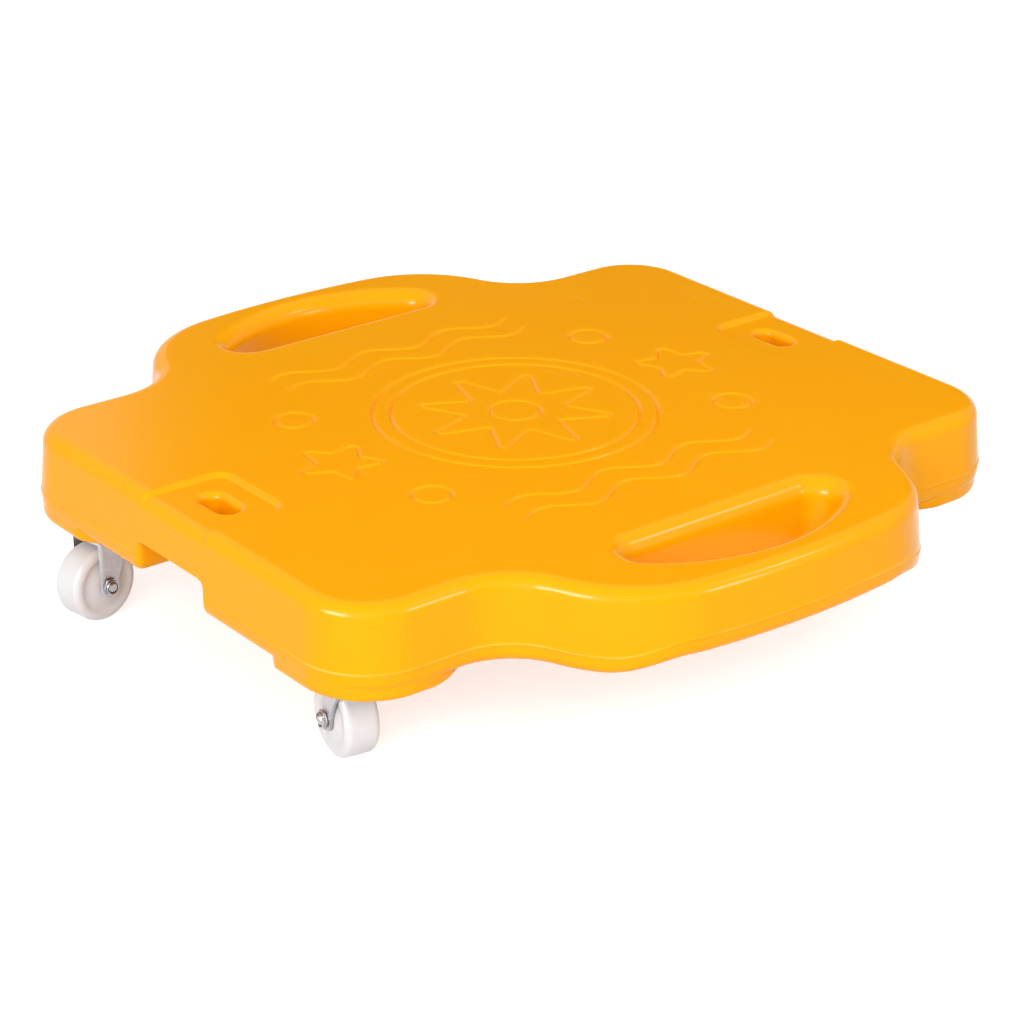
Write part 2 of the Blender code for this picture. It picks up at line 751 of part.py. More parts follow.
def fork():
    back = -TRAIL - LEG_BOSS
    plan = [
        (back, -LEG_OUTER),
        (FORK_FRONT, -LEG_OUTER),
        (FORK_FRONT, LEG_OUTER),
        (back, LEG_OUTER),
    ]
    crown = slab([plan], CROWN_BASE, CROWN_TOP)
    rim = BALL_CENTRE
    inner = SWIVEL_RADIUS - SHEET
    top = CROWN_TOP - OVERLAP
    bottom = CROWN_BASE + OVERLAP
    cup = turned(
        [
            (0.0, top),
            (inner, top),
            (inner, rim),
            (SWIVEL_RADIUS, rim),
            (SWIVEL_RADIUS, bottom),
            (0.0, bottom),
        ],
        SWIVEL_STEPS,
    )
    body = combined(crown, [fork_leg(-1), fork_leg(1), cup], "UNION")
    hole = circle(0.0, 0.0, KINGPIN_RADIUS + RUNNING_GAP, SHAFT_STEPS)
    bore = prism(hole, CROWN_BASE - OVERCUT, CROWN_TOP + OVERCUT)
    axle = circle(-TRAIL, AXLE_Z, BOLT_RADIUS + RUNNING_GAP, SHAFT_STEPS)
    axle_bore = upright(axle, -LEG_OUTER - OVERCUT, LEG_OUTER + OVERCUT)
    return combined(body, [bore, axle_bore], "DIFFERENCE")


def axle_frame(mesh):
    """Turns a piece made along Z so that it lies along Y, its +Z end towards -Y."""
    mesh.transform(Matrix.Rotation(math.radians(90), 4, "X"))
    return mesh


def wheel():
    radius, half = WHEEL_DIAMETER / 2, WHEEL_WIDTH / 2
    bore = SLEEVE_RADIUS + RUNNING_GAP
    face = half - FACE_DISH
    side = [(bore, HUB_HALF), (HUB_RADIUS, HUB_HALF), (HUB_RADIUS, face), (FACE_RADIUS, face)]
    tread = radius - TREAD_ROUND
    shoulder = arc(tread, half - TREAD_ROUND, TREAD_ROUND, 90, 0, BASE_ROUND_STEPS)
    profile = side + shoulder
    profile += [(r, -z) for r, z in reversed(profile)]
    return axle_frame(turned(profile, WHEEL_STEPS))


def axle_sleeve():
    half = LEG_INNER - SEAT_GAP
    inner = BOLT_RADIUS + RUNNING_GAP
    profile = [(inner, half), (SLEEVE_RADIUS, half), (SLEEVE_RADIUS, -half), (inner, -half)]
    return axle_frame(turned(profile, SHAFT_STEPS))


def hexagon():
    return circle(0.0, 0.0, NUT_ACROSS_FLATS / math.sqrt(3), 6)


def axle_bolt():
    under = -LEG_OUTER - SEAT_GAP
    end = LEG_OUTER + SEAT_GAP + NUT_THICKNESS + BOLT_PAST_NUT
    head = slab([hexagon()], under - BOLT_HEAD, under)
    shaft = turned(
        [
            (0.0, end),
            (BOLT_RADIUS - BOLT_CHAMFER, end),
            (BOLT_RADIUS, end - BOLT_CHAMFER),
            (BOLT_RADIUS, under - OVERLAP),
            (0.0, under - OVERLAP),
        ],
        SHAFT_STEPS,
    )
    return axle_frame(combined(head, [shaft], "UNION"))


def axle_nut():
    low = LEG_OUTER + SEAT_GAP
    hole = circle(0.0, 0.0, BOLT_RADIUS + RUNNING_GAP, SHAFT_STEPS)
    return axle_frame(slab([hexagon(), hole], low, low + NUT_THICKNESS, NUT_ROUND))


def screw():
    head = PLATE_BASE - SEAT_GAP
    tip = head + SCREW_LENGTH
    end = head - SCREW_HEAD
    profile = [
        (0.0, tip),
        (SCREW_RADIUS, tip - SCREW_TIP),
        (SCREW_RADIUS, head),
        (SCREW_HEAD_RADIUS, head),
        (SCREW_HEAD_RADIUS, end + SCREW_HEAD_CHAMFER),
        (SCREW_HEAD_RADIUS - SCREW_HEAD_CHAMFER, end),
        (0.0, end),
    ]
    return turned(profile, SCREW_STEPS)


# Assembly


def finish(obj, mat, edge=35):
    obj.data.materials.clear()
    obj.data.materials.append(mat)
    obj.data.shade_smooth()
    obj.data.set_sharp_from_angle(angle=math.radians(edge))


def empty(name, where, location, turn):
    obj = bpy.data.objects.new(name, None)
    obj.empty_display_size = SWIVEL_RADIUS
    where.objects.link(obj)
    obj.location = location
    obj.rotation_euler.z = math.radians(turn)
    return obj


clear_scene()
BOARD = collection("scooter_board")
WORK = collection("work")

PLASTIC = material("deck_plastic", (0.96, 0.42, 0.02), 0.32)
ZINC = material("zinc_steel", (0.66, 0.66, 0.68), 0.34, 1.0)
NYLON = material("wheel_nylon", (0.86, 0.85, 0.86), 0.38)
STEEL = material("bright_steel", (0.72, 0.72, 0.74), 0.22, 1.0)

finish(add("deck", deck(), BOARD), PLASTIC)

FIXED = {
    "mount_plate": (mount_plate(), ZINC),
    "kingpin": (kingpin(), STEEL),
    "ball_ring": (ball_ring(), STEEL),
}
SWIVELLING = {"fork": (fork(), ZINC)}
ON_AXLE = {
    "wheel": (wheel(), NYLON),
    "axle_sleeve": (axle_sleeve(), ZINC),
    "axle_bolt": (axle_bolt(), STEEL),
    "axle_nut": (axle_nut(), STEEL),
}
SCREW = screw()

for corner, (side_x, side_y, trails) in CASTERS.items():
    seat = empty(f"seat_{corner}", BOARD, (side_x * SWIVEL_X, side_y * SWIVEL_Y, SEAT), 0.0)
    swivel = empty(f"swivel_{corner}", BOARD, (0.0, 0.0, 0.0), trails - 180.0)
    swivel.parent = seat
    axle = empty(f"axle_{corner}", BOARD, (-TRAIL, 0.0, AXLE_Z), 0.0)
    axle.parent = swivel
    for parent, pieces in ((seat, FIXED), (swivel, SWIVELLING), (axle, ON_AXLE)):
        for piece, (mesh, mat) in pieces.items():
            obj = add(f"{piece}_{corner}", mesh, BOARD)
            obj.parent = parent
            finish(obj, mat)
    for number, (x, y) in enumerate(screw_places(), 1):
        obj = add(f"screw_{corner}_{number}", SCREW, BOARD)
        obj.parent = seat
        obj.location = (x, y, 0.0)
        finish(obj, STEEL)

bpy.context.scene.collection.children.unlink(WORK)
bpy.data.collections.remove(WORK)
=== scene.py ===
"""Looks of a children's scooter board: a hollow moulded deck on four swivel casters."""

import math

import bmesh
import bpy
from mathutils import Matrix, Vector


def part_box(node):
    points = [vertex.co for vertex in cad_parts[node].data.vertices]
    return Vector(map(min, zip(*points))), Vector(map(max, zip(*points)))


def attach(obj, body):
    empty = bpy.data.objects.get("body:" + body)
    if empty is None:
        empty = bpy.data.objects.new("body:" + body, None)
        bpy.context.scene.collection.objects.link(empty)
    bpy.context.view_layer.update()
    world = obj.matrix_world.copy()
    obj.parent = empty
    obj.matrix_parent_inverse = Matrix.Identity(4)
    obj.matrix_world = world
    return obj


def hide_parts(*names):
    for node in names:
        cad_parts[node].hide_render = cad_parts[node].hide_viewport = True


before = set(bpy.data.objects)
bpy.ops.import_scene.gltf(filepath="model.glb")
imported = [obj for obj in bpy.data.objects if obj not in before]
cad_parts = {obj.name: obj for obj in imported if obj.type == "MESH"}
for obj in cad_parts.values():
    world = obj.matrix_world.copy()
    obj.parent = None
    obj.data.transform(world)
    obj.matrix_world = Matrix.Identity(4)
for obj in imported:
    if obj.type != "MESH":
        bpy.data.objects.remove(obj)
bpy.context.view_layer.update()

# Deck shell
# One hollow blow-moulded shell of glossy high-density polyethylene, about 4 mm thick. Its two
# halves meet at a parting line round the sides, and everything on it is moulded in one shot:
# the two grips, the link sites with their slots, and the four round pods under the corners.

BOARD_WIDTH = 0.400
BOARD_LENGTH = 0.420
LOBE_LENGTH = 0.285
LOBE_RADIUS = 0.036
NECK_RADIUS = 0.034
SHOULDER_RADIUS = 0.067
SHOULDER_SPACING = 0.090
GRIP_ARC_RADIUS = 0.450
DECK_TOP = 0.095
DECK_BASE = 0.055
PARTING = 0.064
PARTING_STEP = 0.0004
DRAFT = 0.0025
TOP_ROUND = 0.0075
BASE_ROUND = 0.005
FLASH_HEIGHT = 0.0007
FLASH_MARGIN = 2e-5
GRIP_BAR = 0.020
HAND_HOLE_WIDTH = 0.043
HAND_HOLE_ARC_RADIUS = 0.095
HAND_HOLE_CORNER = 0.013
HAND_HOLE_ROUND = 0.0095
HAND_HOLE_THROAT = 0.003  # how much the throat is drawn in under the rim
GRIP_LIFT = 0.007
GRIP_LIFT_LENGTH = 0.124
GRIP_LIFT_EASE = 0.033
GRIP_INNER = BOARD_LENGTH / 2 - GRIP_BAR
LIFT_START = GRIP_INNER - HAND_HOLE_WIDTH
LIFT_FULL = GRIP_LIFT_LENGTH / 2
LIFT_END = LIFT_FULL + GRIP_LIFT_EASE
POD_RADIUS = 0.0415
POD_FROM_SIDE = 0.0395
POD_FROM_LOBE = 0.0422
POD_FROM_EDGE = 0.0002
POD_ROUND = 0.004
DISC_ROUND = 0.0028
SEAT = 0.050
VENT_RADIUS = 0.004
VENT_ROUND = 0.0008
VENT_DEPTH = 0.030
HEAD_RELIEF_RADIUS = 0.0074
HEAD_RELIEF = 0.0024
PILOT_RADIUS = 0.0019
PILOT_DEPTH = 0.0077
CORNERS = ("rear_left", "front_left", "front_right", "rear_right")
LOBE_STEPS = 16
NECK_STEPS = 14
SHOULDER_STEPS = 16
GRIP_STEPS = 5
HAND_HOLE_CORNER_STEPS = 16
HAND_HOLE_ARC_STEPS = 10
TOP_STEPS = 10
BASE_STEPS = 6
OVERCUT = 0.01  # how far a cutter runs past the shell
FLARE = 1e-4  # how far a cutter opens beyond a rounded rim
TINY = 1e-9


def arc(cx, cy, radius, start, end, steps):
    """Points on an arc, angles in degrees, both ends included."""
    angles = [math.radians(start + (end - start) * i / steps) for i in range(steps + 1)]
    return [(cx + radius * math.cos(a), cy + radius * math.sin(a)) for a in angles]


def circle(cx, cy, radius, steps):
    return arc(cx, cy, radius, 0, 360, steps)[:-1]


def rounding(radius, steps, start, end):
    """How far in and how far along a rounded edge is, at steps through its arc."""
    return [(radius - x, radius - y) for x, y in arc(0, 0, radius, start, end, steps)]


def new_mesh(bm, name):
    bmesh.ops.recalc_face_normals(bm, faces=bm.faces)
    mesh = bpy.data.meshes.new(name)
    bm.to_mesh(mesh)
    bm.free()
    return mesh


def lofted(rings, name="loft"):
    """A closed solid through rings of one point count, each a list of 3-D points."""
    bm = bmesh.new()
    levels = [[bm.verts.new(point) for point in ring] for ring in rings]
    for low, high in zip(levels, levels[1:]):
        for i in range(len(low)):
            bm.faces.new((low[i - 1], low[i], high[i], high[i - 1]))
    bm.faces.new(levels[0])
    bm.faces.new(levels[-1])
    return new_mesh(bm, name)


def stack(loop_at, rings, name="stack"):
    """A solid through level rings, each an offset of one outline and its height."""
    return lofted([[(x, y, z) for x, y in loop_at(offset)] for offset, z in rings], name)


def turned(profile, steps, name="turned"):
    """A profile of (radius, height) points turned about Z, closed where it leaves the axis."""
    bm = bmesh.new()
    verts = [bm.verts.new((r, 0.0, z)) for r, z in profile]
    pairs = list(zip(verts, verts[1:]))
    if profile[0][0] > 0 and profile[-1][0] > 0:
        pairs.append((verts[-1], verts[0]))
    edges = [bm.edges.new(pair) for pair in pairs]
    bmesh.ops.spin(
        bm,
        geom=verts + edges,
        axis=(0, 0, 1),
        cent=(0, 0, 0),
        angle=math.tau,
        steps=steps,
        use_merge=True,
    )
    bmesh.ops.remove_doubles(bm, verts=bm.verts, dist=1e-6)
    return new_mesh(bm, name)


def joined(meshes, name="joined"):
    bm = bmesh.new()
    for mesh in meshes:
        bm.from_mesh(mesh)
    return new_mesh(bm, name)


def combined(mesh, others, operation):
    """The mesh with each other mesh added to it or cut from it."""
    scene = bpy.context.scene.collection
    made = bpy.data.objects.new("combined", mesh)
    scene.objects.link(made)
    helpers = [bpy.data.objects.new("helper", other) for other in others]
    for helper in helpers:
        scene.objects.link(helper)
        boolean = made.modifiers.new("Boolean", "BOOLEAN")
        boolean.operation = operation
        boolean.solver = "EXACT"
        boolean.object = helper
    graph = bpy.context.evaluated_depsgraph_get()
    result = bpy.data.meshes.new_from_object(made.evaluated_get(graph))
    for obj in helpers + [made]:
        bpy.data.objects.remove(obj, do_unlink=True)
    return result


def moved(mesh, matrix):
    copy = mesh.copy()
    copy.transform(matrix)
    return copy


def deck_outline(inset):
    """The deck's plan, moved inwards by the inset: lobes, necks, shoulders and grip arcs."""
    edge = LOBE_LENGTH / 2
    lobe_x = BOARD_WIDTH / 2 - LOBE_RADIUS
    lobe_y = edge - LOBE_RADIUS
    shoulder_x = SHOULDER_SPACING / 2
    arc_y = BOARD_LENGTH / 2 - GRIP_ARC_RADIUS
    shoulder_y = arc_y + math.sqrt((GRIP_ARC_RADIUS - SHOULDER_RADIUS) ** 2 - shoulder_x**2)
    neck_y = edge + NECK_RADIUS
    rise = neck_y - shoulder_y
    run = math.sqrt((NECK_RADIUS + SHOULDER_RADIUS) ** 2 - rise**2)
    turn = math.degrees(math.atan2(rise, run))
    tangent = math.degrees(math.atan2(shoulder_y - arc_y, shoulder_x))
    quarter = arc(lobe_x, lobe_y, LOBE_RADIUS - inset, 0, 90, LOBE_STEPS)
    neck_x = shoulder_x + run
    shoulder = SHOULDER_RADIUS - inset
    quarter += arc(neck_x, neck_y, NECK_RADIUS + inset, -90, turn - 180, NECK_STEPS)
    quarter += arc(shoulder_x, shoulder_y, shoulder, turn, tangent, SHOULDER_STEPS)[1:]
    quarter += arc(0, arc_y, GRIP_ARC_RADIUS - inset, tangent, 90, GRIP_STEPS)[1:]
    half = quarter + [(-x, y) for x, y in reversed(quarter) if x > TINY]
    return half + [(x, -y) for x, y in reversed(half) if y > TINY]


def hand_hole(side, outset):
    """The plan of a hand hole: a straight inner side and an arched outer one."""
    low = GRIP_INNER - HAND_HOLE_WIDTH
    arc_y = GRIP_INNER - HAND_HOLE_ARC_RADIUS
    corner_y = low + HAND_HOLE_CORNER
    reach = HAND_HOLE_ARC_RADIUS - HAND_HOLE_CORNER
    corner_x = math.sqrt(reach**2 - (corner_y - arc_y) ** 2)
    tangent = math.degrees(math.atan2(corner_y - arc_y, corner_x))
    corner = HAND_HOLE_CORNER + outset
    crown = HAND_HOLE_ARC_RADIUS + outset
    half = arc(corner_x, corner_y, corner, -90, tangent, HAND_HOLE_CORNER_STEPS)
    half += arc(0, arc_y, crown, tangent, 90, HAND_HOLE_ARC_STEPS)[1:]
    loop = half + [(-x, y) for x, y in reversed(half) if x > TINY]
    return [(x, side * y) for x, y in loop]


def eased(value, start, end):
    """0 at the start, 1 at the end, and smooth between them."""
    t = min(max((value - start) / (end - start), 0.0), 1.0)
    return t * t * (3 - 2 * t)


def lift(x, y):
    """How far the underside rises under the middle of a grip."""
    across = eased(abs(y), LIFT_START, GRIP_INNER)
    return GRIP_LIFT * across * eased(abs(x), LIFT_END, LIFT_FULL)


def raised_under_grips(mesh):
    """Lifts the lower half of the shell, up to its parting line, under the grips."""
    bm = bmesh.new()
    bm.from_mesh(mesh)
    strips = 10
    planes = []
    for i in range(strips + 1):
        for side in (-1, 1):
            y = side * (LIFT_START + (GRIP_INNER - LIFT_START) * i / strips)
            planes.append(((0, y, 0), (0, 1, 0)))
            planes.append(((side * (LIFT_FULL + GRIP_LIFT_EASE * i / strips), 0, 0), (1, 0, 0)))
    for place, normal in planes:
        below = [face for face in bm.faces if face.calc_center_median().z < PARTING]
        below = [face for face in below if max(abs(v.co.y) for v in face.verts) > LIFT_START]
        near = dict.fromkeys(v for face in below for v in face.verts)
        near.update(dict.fromkeys(e for face in below for e in face.edges))
        bmesh.ops.bisect_plane(
            bm, geom=list(near) + below, dist=1e-6, plane_co=place, plane_no=normal
        )
    for vert in bm.verts:
        if vert.co.z < PARTING + 2 * FLASH_HEIGHT:
            vert.co.z += lift(vert.co.x, vert.co.y)
    return new_mesh(bm, "raised")


def deck_block():
    """The shell's sides, from the rounded base past the parting flash to the rounded top."""
    step = PARTING_STEP
    rings = [(step + i, DECK_BASE + z) for z, i in rounding(BASE_ROUND, BASE_STEPS, 0, 90)]
    rings += [
        (step, PARTING - FLASH_HEIGHT),
        (step / 4, PARTING - FLASH_HEIGHT / 3),
        (0.0, PARTING),
        (step / 4, PARTING + FLASH_HEIGHT / 3),
        (step, PARTING + FLASH_HEIGHT),
    ]
    rings += [(DRAFT + i, DECK_TOP - z) for i, z in rounding(TOP_ROUND, TOP_STEPS, 0, 90)]
    return stack(deck_outline, rings)


def hand_hole_cutter(side):
    throat = -HAND_HOLE_THROAT
    rings = [(throat + BASE_ROUND, DECK_BASE - OVERCUT)]
    rings += [(throat + i, DECK_BASE + z) for z, i in rounding(BASE_ROUND, 5, 0, 90)]
    rings += [(throat + i, DECK_TOP - z) for i, z in rounding(HAND_HOLE_ROUND, 10, 0, 90)]
    rings += [(throat + HAND_HOLE_ROUND + FLARE, DECK_TOP + OVERCUT)]
    return stack(lambda outset: hand_hole(side, outset), rings)


def pods():
    """The four round feet under the corners, flush with the shell's sides."""
    inset = PARTING_STEP + POD_FROM_EDGE
    rings = [(inset + i, SEAT + z) for z, i in rounding(POD_ROUND, 6, 0, 90)]
    limit = stack(deck_outline, rings + [(inset, PARTING + OVERCUT)])
    profile = [(0.0, PARTING), (POD_RADIUS, PARTING)]
    profile += arc(POD_RADIUS - DISC_ROUND, SEAT + DISC_ROUND, DISC_ROUND, 0, -90, 6)
    profile.append((0.0, SEAT))
    foot = turned(profile, 96)
    pod_x = BOARD_WIDTH / 2 - POD_FROM_SIDE
    pod_y = LOBE_LENGTH / 2 - POD_FROM_LOBE
    feet = []
    for side_x in (-1, 1):
        for side_y in (-1, 1):
            round_foot = moved(foot, Matrix.Translation((side_x * pod_x, side_y * pod_y, 0.0)))
            feet.append(combined(limit.copy(), [round_foot], "INTERSECT"))
    return feet


def vent_cutter():
    """The blow pin's hole in the underside, with a soft rim."""
    deep = DECK_BASE + VENT_DEPTH
    below = DECK_BASE - OVERCUT
    profile = [(0.0, deep), (VENT_RADIUS, deep)]
    profile += [(VENT_RADIUS + i, DECK_BASE + z) for i, z in rounding(VENT_ROUND, 5, 0, 90)]
    profile += [(VENT_RADIUS + VENT_ROUND + FLARE, below), (0.0, below)]
    return turned(profile, 48)


def centre(name):
    """The middle of a CAD node's box."""
    low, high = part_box(name)
    return (Vector(low) + Vector(high)) / 2


def seat_bores():
    """In each foot: a relief for the kingpin's head, and the plate screws' pilot holes."""
    bores = []
    for corner in CORNERS:
        pin = centre(f"kingpin_{corner}")
        places = [(pin.x, pin.y, HEAD_RELIEF_RADIUS, HEAD_RELIEF)]
        for number in range(1, 5):
            spot = centre(f"screw_{corner}_{number}")
            places.append((spot.x, spot.y, PILOT_RADIUS, PILOT_DEPTH))
        for x, y, radius, depth in places:
            ring = circle(x, y, radius, 48)
            levels = (SEAT - OVERCUT, SEAT + depth)
            bores.append(lofted([[(px, py, z) for px, py in ring] for z in levels]))
    return joined(bores, "seat_bores")


shell = combined(deck_block(), [hand_hole_cutter(side) for side in (-1, 1)], "DIFFERENCE")
shell = combined(raised_under_grips(shell), pods(), "UNION")
shell = combined(shell, [vent_cutter(), seat_bores()], "DIFFERENCE")

# Link sites
# In the middle of each straight side a shallow recess, a slot through its floor and a notch
# under the edge take a clip that joins two boards. They are formed by the mould itself, so
# every edge is softly rounded.

RECESS_WIDTH = 0.052
RECESS_REACH = 0.048
RECESS_DEPTH = 0.0022
RECESS_CORNER = 0.008
RECESS_EASE = 0.0016  # half the width of the soft step into the recess
RECESS_STEPS = 8
RECESS_OPEN = -0.02  # share of the depth at which the cutter leaves the top
SLOT_WIDTH = 0.0108
SLOT_LENGTH = 0.0238
SLOT_FROM_SIDE = 0.029
SLOT_ROUND = 0.0034
TUNNEL_WIDTH = 0.0534
TUNNEL_HEIGHT = 0.0165
TUNNEL_CORNER = 0.004
TUNNEL_ROUND = 0.003
MOUTH_ROUND = 0.003
LIP_ROUND = 0.0016


def rounded_box(low_x, high_x, half_y, radius, steps):
    points = arc(high_x - radius, half_y - radius, radius, 0, 90, steps)
    points += arc(low_x + radius, half_y - radius, radius, 90, 180, steps)
    points += arc(low_x + radius, radius - half_y, radius, 180, 270, steps)
    points += arc(high_x - radius, radius - half_y, radius, 270, 360, steps)
    return points


def edge_height(distance_in):
    """Height of the deck's rounded top edge, at a distance in from the straight side."""
    into = TOP_ROUND + DRAFT - distance_in
    if into <= 0:
        return DECK_TOP
    into = min(into, TOP_ROUND)
    return DECK_TOP - TOP_ROUND + math.sqrt(TOP_ROUND**2 - into**2)


def recess_cutter(side):
    """Cuts the recess, whose floor follows the deck's rounded edge down to the side."""
    start = BOARD_WIDTH / 2 - RECESS_REACH
    edge = [BOARD_WIDTH / 2 - DRAFT - i for i, _ in rounding(TOP_ROUND, 9, 90, 0)]
    past = BOARD_WIDTH / 2 + OVERCUT

    def ring(outset, share):
        radius = RECESS_CORNER + outset
        half = RECESS_WIDTH / 2 + outset
        inner = start - outset
        far = arc(inner + radius, half - radius, radius, 180, 90, 8)
        plan = far + [(x, half) for x in edge] + [(past, half)]
        plan += [(x, -y) for x, y in reversed(plan)]
        found = []
        for x, y in plan:
            edge_z = edge_height(BOARD_WIDTH / 2 - x)
            fade = (edge_z - DECK_TOP + TOP_ROUND) / TOP_ROUND if share > 0 else 1.0
            found.append((side * x, y, edge_z - RECESS_DEPTH * share * fade))
        return found

    rings = []
    for i in range(RECESS_STEPS + 1):
        t = i / RECESS_STEPS
        share = 0.5 + 0.5 * math.cos(math.pi * t) if i < RECESS_STEPS else RECESS_OPEN
        rings.append(ring(RECESS_EASE * (2 * t - 1), share))
    rings.append([(x, y, DECK_TOP + OVERCUT) for x, y, z in rings[-1]])
    bm = bmesh.new()
    levels = [[bm.verts.new(point) for point in level] for level in rings]
    count = len(levels[0])
    for low, high in zip(levels, levels[1:]):
        for i in range(count):
            bm.faces.new((low[i - 1], low[i], high[i], high[i - 1]))
    floor = levels[0]
    for i in range(count // 2 - 1):
        bm.faces.new((floor[i], floor[i + 1], floor[count - 2 - i], floor[count - 1 - i]))
    bm.faces.new(levels[-1])
    return new_mesh(bm, "recess")


def slot_cutter(side):
    middle = side * (BOARD_WIDTH / 2 - SLOT_FROM_SIDE)
    floor = DECK_TOP - RECESS_DEPTH

    def plan(outset):
        width, length = SLOT_WIDTH / 2 + outset, SLOT_LENGTH / 2 + outset
        return rounded_box(middle - width, middle + width, length, width - 1e-5, 10)

    rings = [(0.0, DECK_BASE)]
    rings += [(i, floor - z) for i, z in rounding(SLOT_ROUND, 6, 0, 90)]
    rings += [(SLOT_ROUND + FLARE, floor + OVERCUT)]
    return stack(plan, rings)


def tunnel_cutter(side):
    start = BOARD_WIDTH / 2 - RECESS_REACH
    past = BOARD_WIDTH / 2 + OVERCUT
    side_x = BOARD_WIDTH / 2 - PARTING_STEP

    def plan(outset):
        mouth = side_x - max(outset, 0.0)
        half = TUNNEL_WIDTH / 2 + outset
        radius = TUNNEL_CORNER + outset
        inner = start - outset
        points = arc(inner + radius, half - radius, radius, 180, 90, 5)
        points += arc(mouth - MOUTH_ROUND, half + MOUTH_ROUND, MOUTH_ROUND, -90, 0, 5)
        points += [(past, half + MOUTH_ROUND)]
        points += [(x, -y) for x, y in reversed(points)]
        return [(side * x, y) for x, y in points]

    roof = DECK_BASE + TUNNEL_HEIGHT
    rings = [(BASE_ROUND, DECK_BASE - OVERCUT)]
    rings += [(i, DECK_BASE + z) for z, i in rounding(BASE_ROUND, 5, 0, 90)]
    rings += [(-i, roof - z) for i, z in rounding(TUNNEL_ROUND, 4, 0, 90)]
    lip = [(side_x - LIP_ROUND, roof - LIP_ROUND)]
    lip += arc(side_x - LIP_ROUND, roof + LIP_ROUND, LIP_ROUND, -90, 0, 6)
    lip += [(past, roof + LIP_ROUND), (past, roof - LIP_ROUND)]
    end = TUNNEL_WIDTH / 2 - TUNNEL_ROUND
    bar = lofted([[(side * x, y, z) for x, z in lip] for y in (-end, end)])
    return combined(stack(plan, rings), [bar], "UNION")


for side in (-1, 1):
    cutters = [recess_cutter(side), slot_cutter(side), tunnel_cutter(side)]
    shell = combined(shell, cutters, "DIFFERENCE")

# Engraved lines
# The top carries shallow lines, cut into the mould and so pressed into the plastic as soft
# grooves about 2 mm wide. Here they form a plain compass star in two rings, with waves.

LINE_HALF = 0.0016
LINE_DEPTH = 0.0013
LINE_STEP = 0.0016
LINE_PLACES = (-0.8, -0.55, -0.3, 0.0, 0.3, 0.55, 0.8)  # across a line, in half widths
LINE_LIP = 6e-5
LINE_ABOVE = 0.002
END_WIDTH = 0.35
END_DEPTH = 0.1
RING_RADII = (0.070, 0.061)
COMPASS_POINTS = 8
COMPASS_REACH = 0.053
COMPASS_NOTCH = 0.024
COMPASS_EYE = 0.0125
WAVE_REACH = 0.075
WAVE_PLACES = (0.088, 0.104)
WAVE_HEIGHT = 0.0055
WAVE_TURNS = 3
SIDE_STAR_POINTS = 5
SIDE_STAR_PLACE = 0.104
SIDE_STAR_REACH = 0.024
SIDE_STAR_NOTCH = 0.011
STAR_CORNER = 0.0024
DOT_PLACE = (0.092, 0.056)
DOT_RADIUS = 0.0095


def groove(points, closed):
    """A cutter along points on the deck's top, with a bell-shaped section."""
    section = [(-1.0, LINE_LIP)]
    for u in LINE_PLACES:
        section.append((u, -LINE_DEPTH * (0.5 + 0.5 * math.cos(math.pi * u))))
    section += [(1.0, LINE_LIP), (1.0, LINE_ABOVE), (-1.0, LINE_ABOVE)]
    bm = bmesh.new()
    rings = []
    count = len(points)
    for i, (x, y) in enumerate(points):
        before = points[i - 1] if closed or i else points[0]
        after = points[(i + 1) % count] if closed or i < count - 1 else points[-1]
        along = Vector((after[0] - before[0], after[1] - before[1])).normalized()
        ends = 1.0 if closed else min(1.0, i / 3, (count - 1 - i) / 3)
        ease = math.sin(ends * math.pi / 2)
        width = LINE_HALF * (END_WIDTH + (1 - END_WIDTH) * ease)
        ring = []
        for u, v in section:
            depth = v * (END_DEPTH + (1 - END_DEPTH) * ease) if v < 0 else v
            place = (x - along.y * u * width, y + along.x * u * width, DECK_TOP + depth)
            ring.append(bm.verts.new(place))
        rings.append(ring)
    pairs = list(zip(rings, rings[1:]))
    if closed:
        pairs.append((rings[-1], rings[0]))
    for low, high in pairs:
        for i in range(len(low)):
            bm.faces.new((low[i - 1], low[i], high[i], high[i - 1]))
    if not closed:
        bm.faces.new(rings[0])
        bm.faces.new(rings[-1])
    return new_mesh(bm, "groove")


def evenly(points, closed, spacing):
    """Points at even steps along a run of straight pieces."""
    run = points + points[:1] if closed else points
    lengths = [0.0]
    for a, b in zip(run, run[1:]):
        lengths.append(lengths[-1] + math.dist(a, b))
    pieces = max(8, round(lengths[-1] / spacing))
    found = []
    k = 0
    for i in range(pieces if closed else pieces + 1):
        target = lengths[-1] * i / pieces
        while k < len(run) - 2 and lengths[k + 1] < target:
            k += 1
        share = (target - lengths[k]) / max(lengths[k + 1] - lengths[k], 1e-12)
        found.append(tuple(a + (b - a) * share for a, b in zip(run[k], run[k + 1])))
    return found


def softened(points, radius):
    """A closed polygon with each corner rounded."""
    found = []
    count = len(points)
    for i in range(count):
        corner = Vector(points[i])
        before = (Vector(points[i - 1]) - corner).normalized()
        after = (Vector(points[(i + 1) % count]) - corner).normalized()
        half = before.angle(after) / 2
        middle = corner + (before + after).normalized() * radius / math.sin(half)
        start = corner + before * radius / math.tan(half) - middle
        end = corner + after * radius / math.tan(half) - middle
        for step in range(9):
            spoke = start.lerp(end, step / 8).normalized() * radius
            found.append(tuple(middle + spoke))
    return found


def star(cx, outer, inner, points, turn=0.0):
    found = []
    for i in range(2 * points):
        reach = inner if i % 2 else outer
        angle = math.radians(turn + 180 * i / points)
        found.append((cx + reach * math.cos(angle), reach * math.sin(angle)))
    return softened(found, STAR_CORNER)


def wave(y):
    count = 40 * WAVE_TURNS
    points = []
    for i in range(count + 1):
        swing = math.sin(math.tau * WAVE_TURNS * i / count)
        points.append((-WAVE_REACH + 2 * WAVE_REACH * i / count, y + WAVE_HEIGHT * swing))
    return points


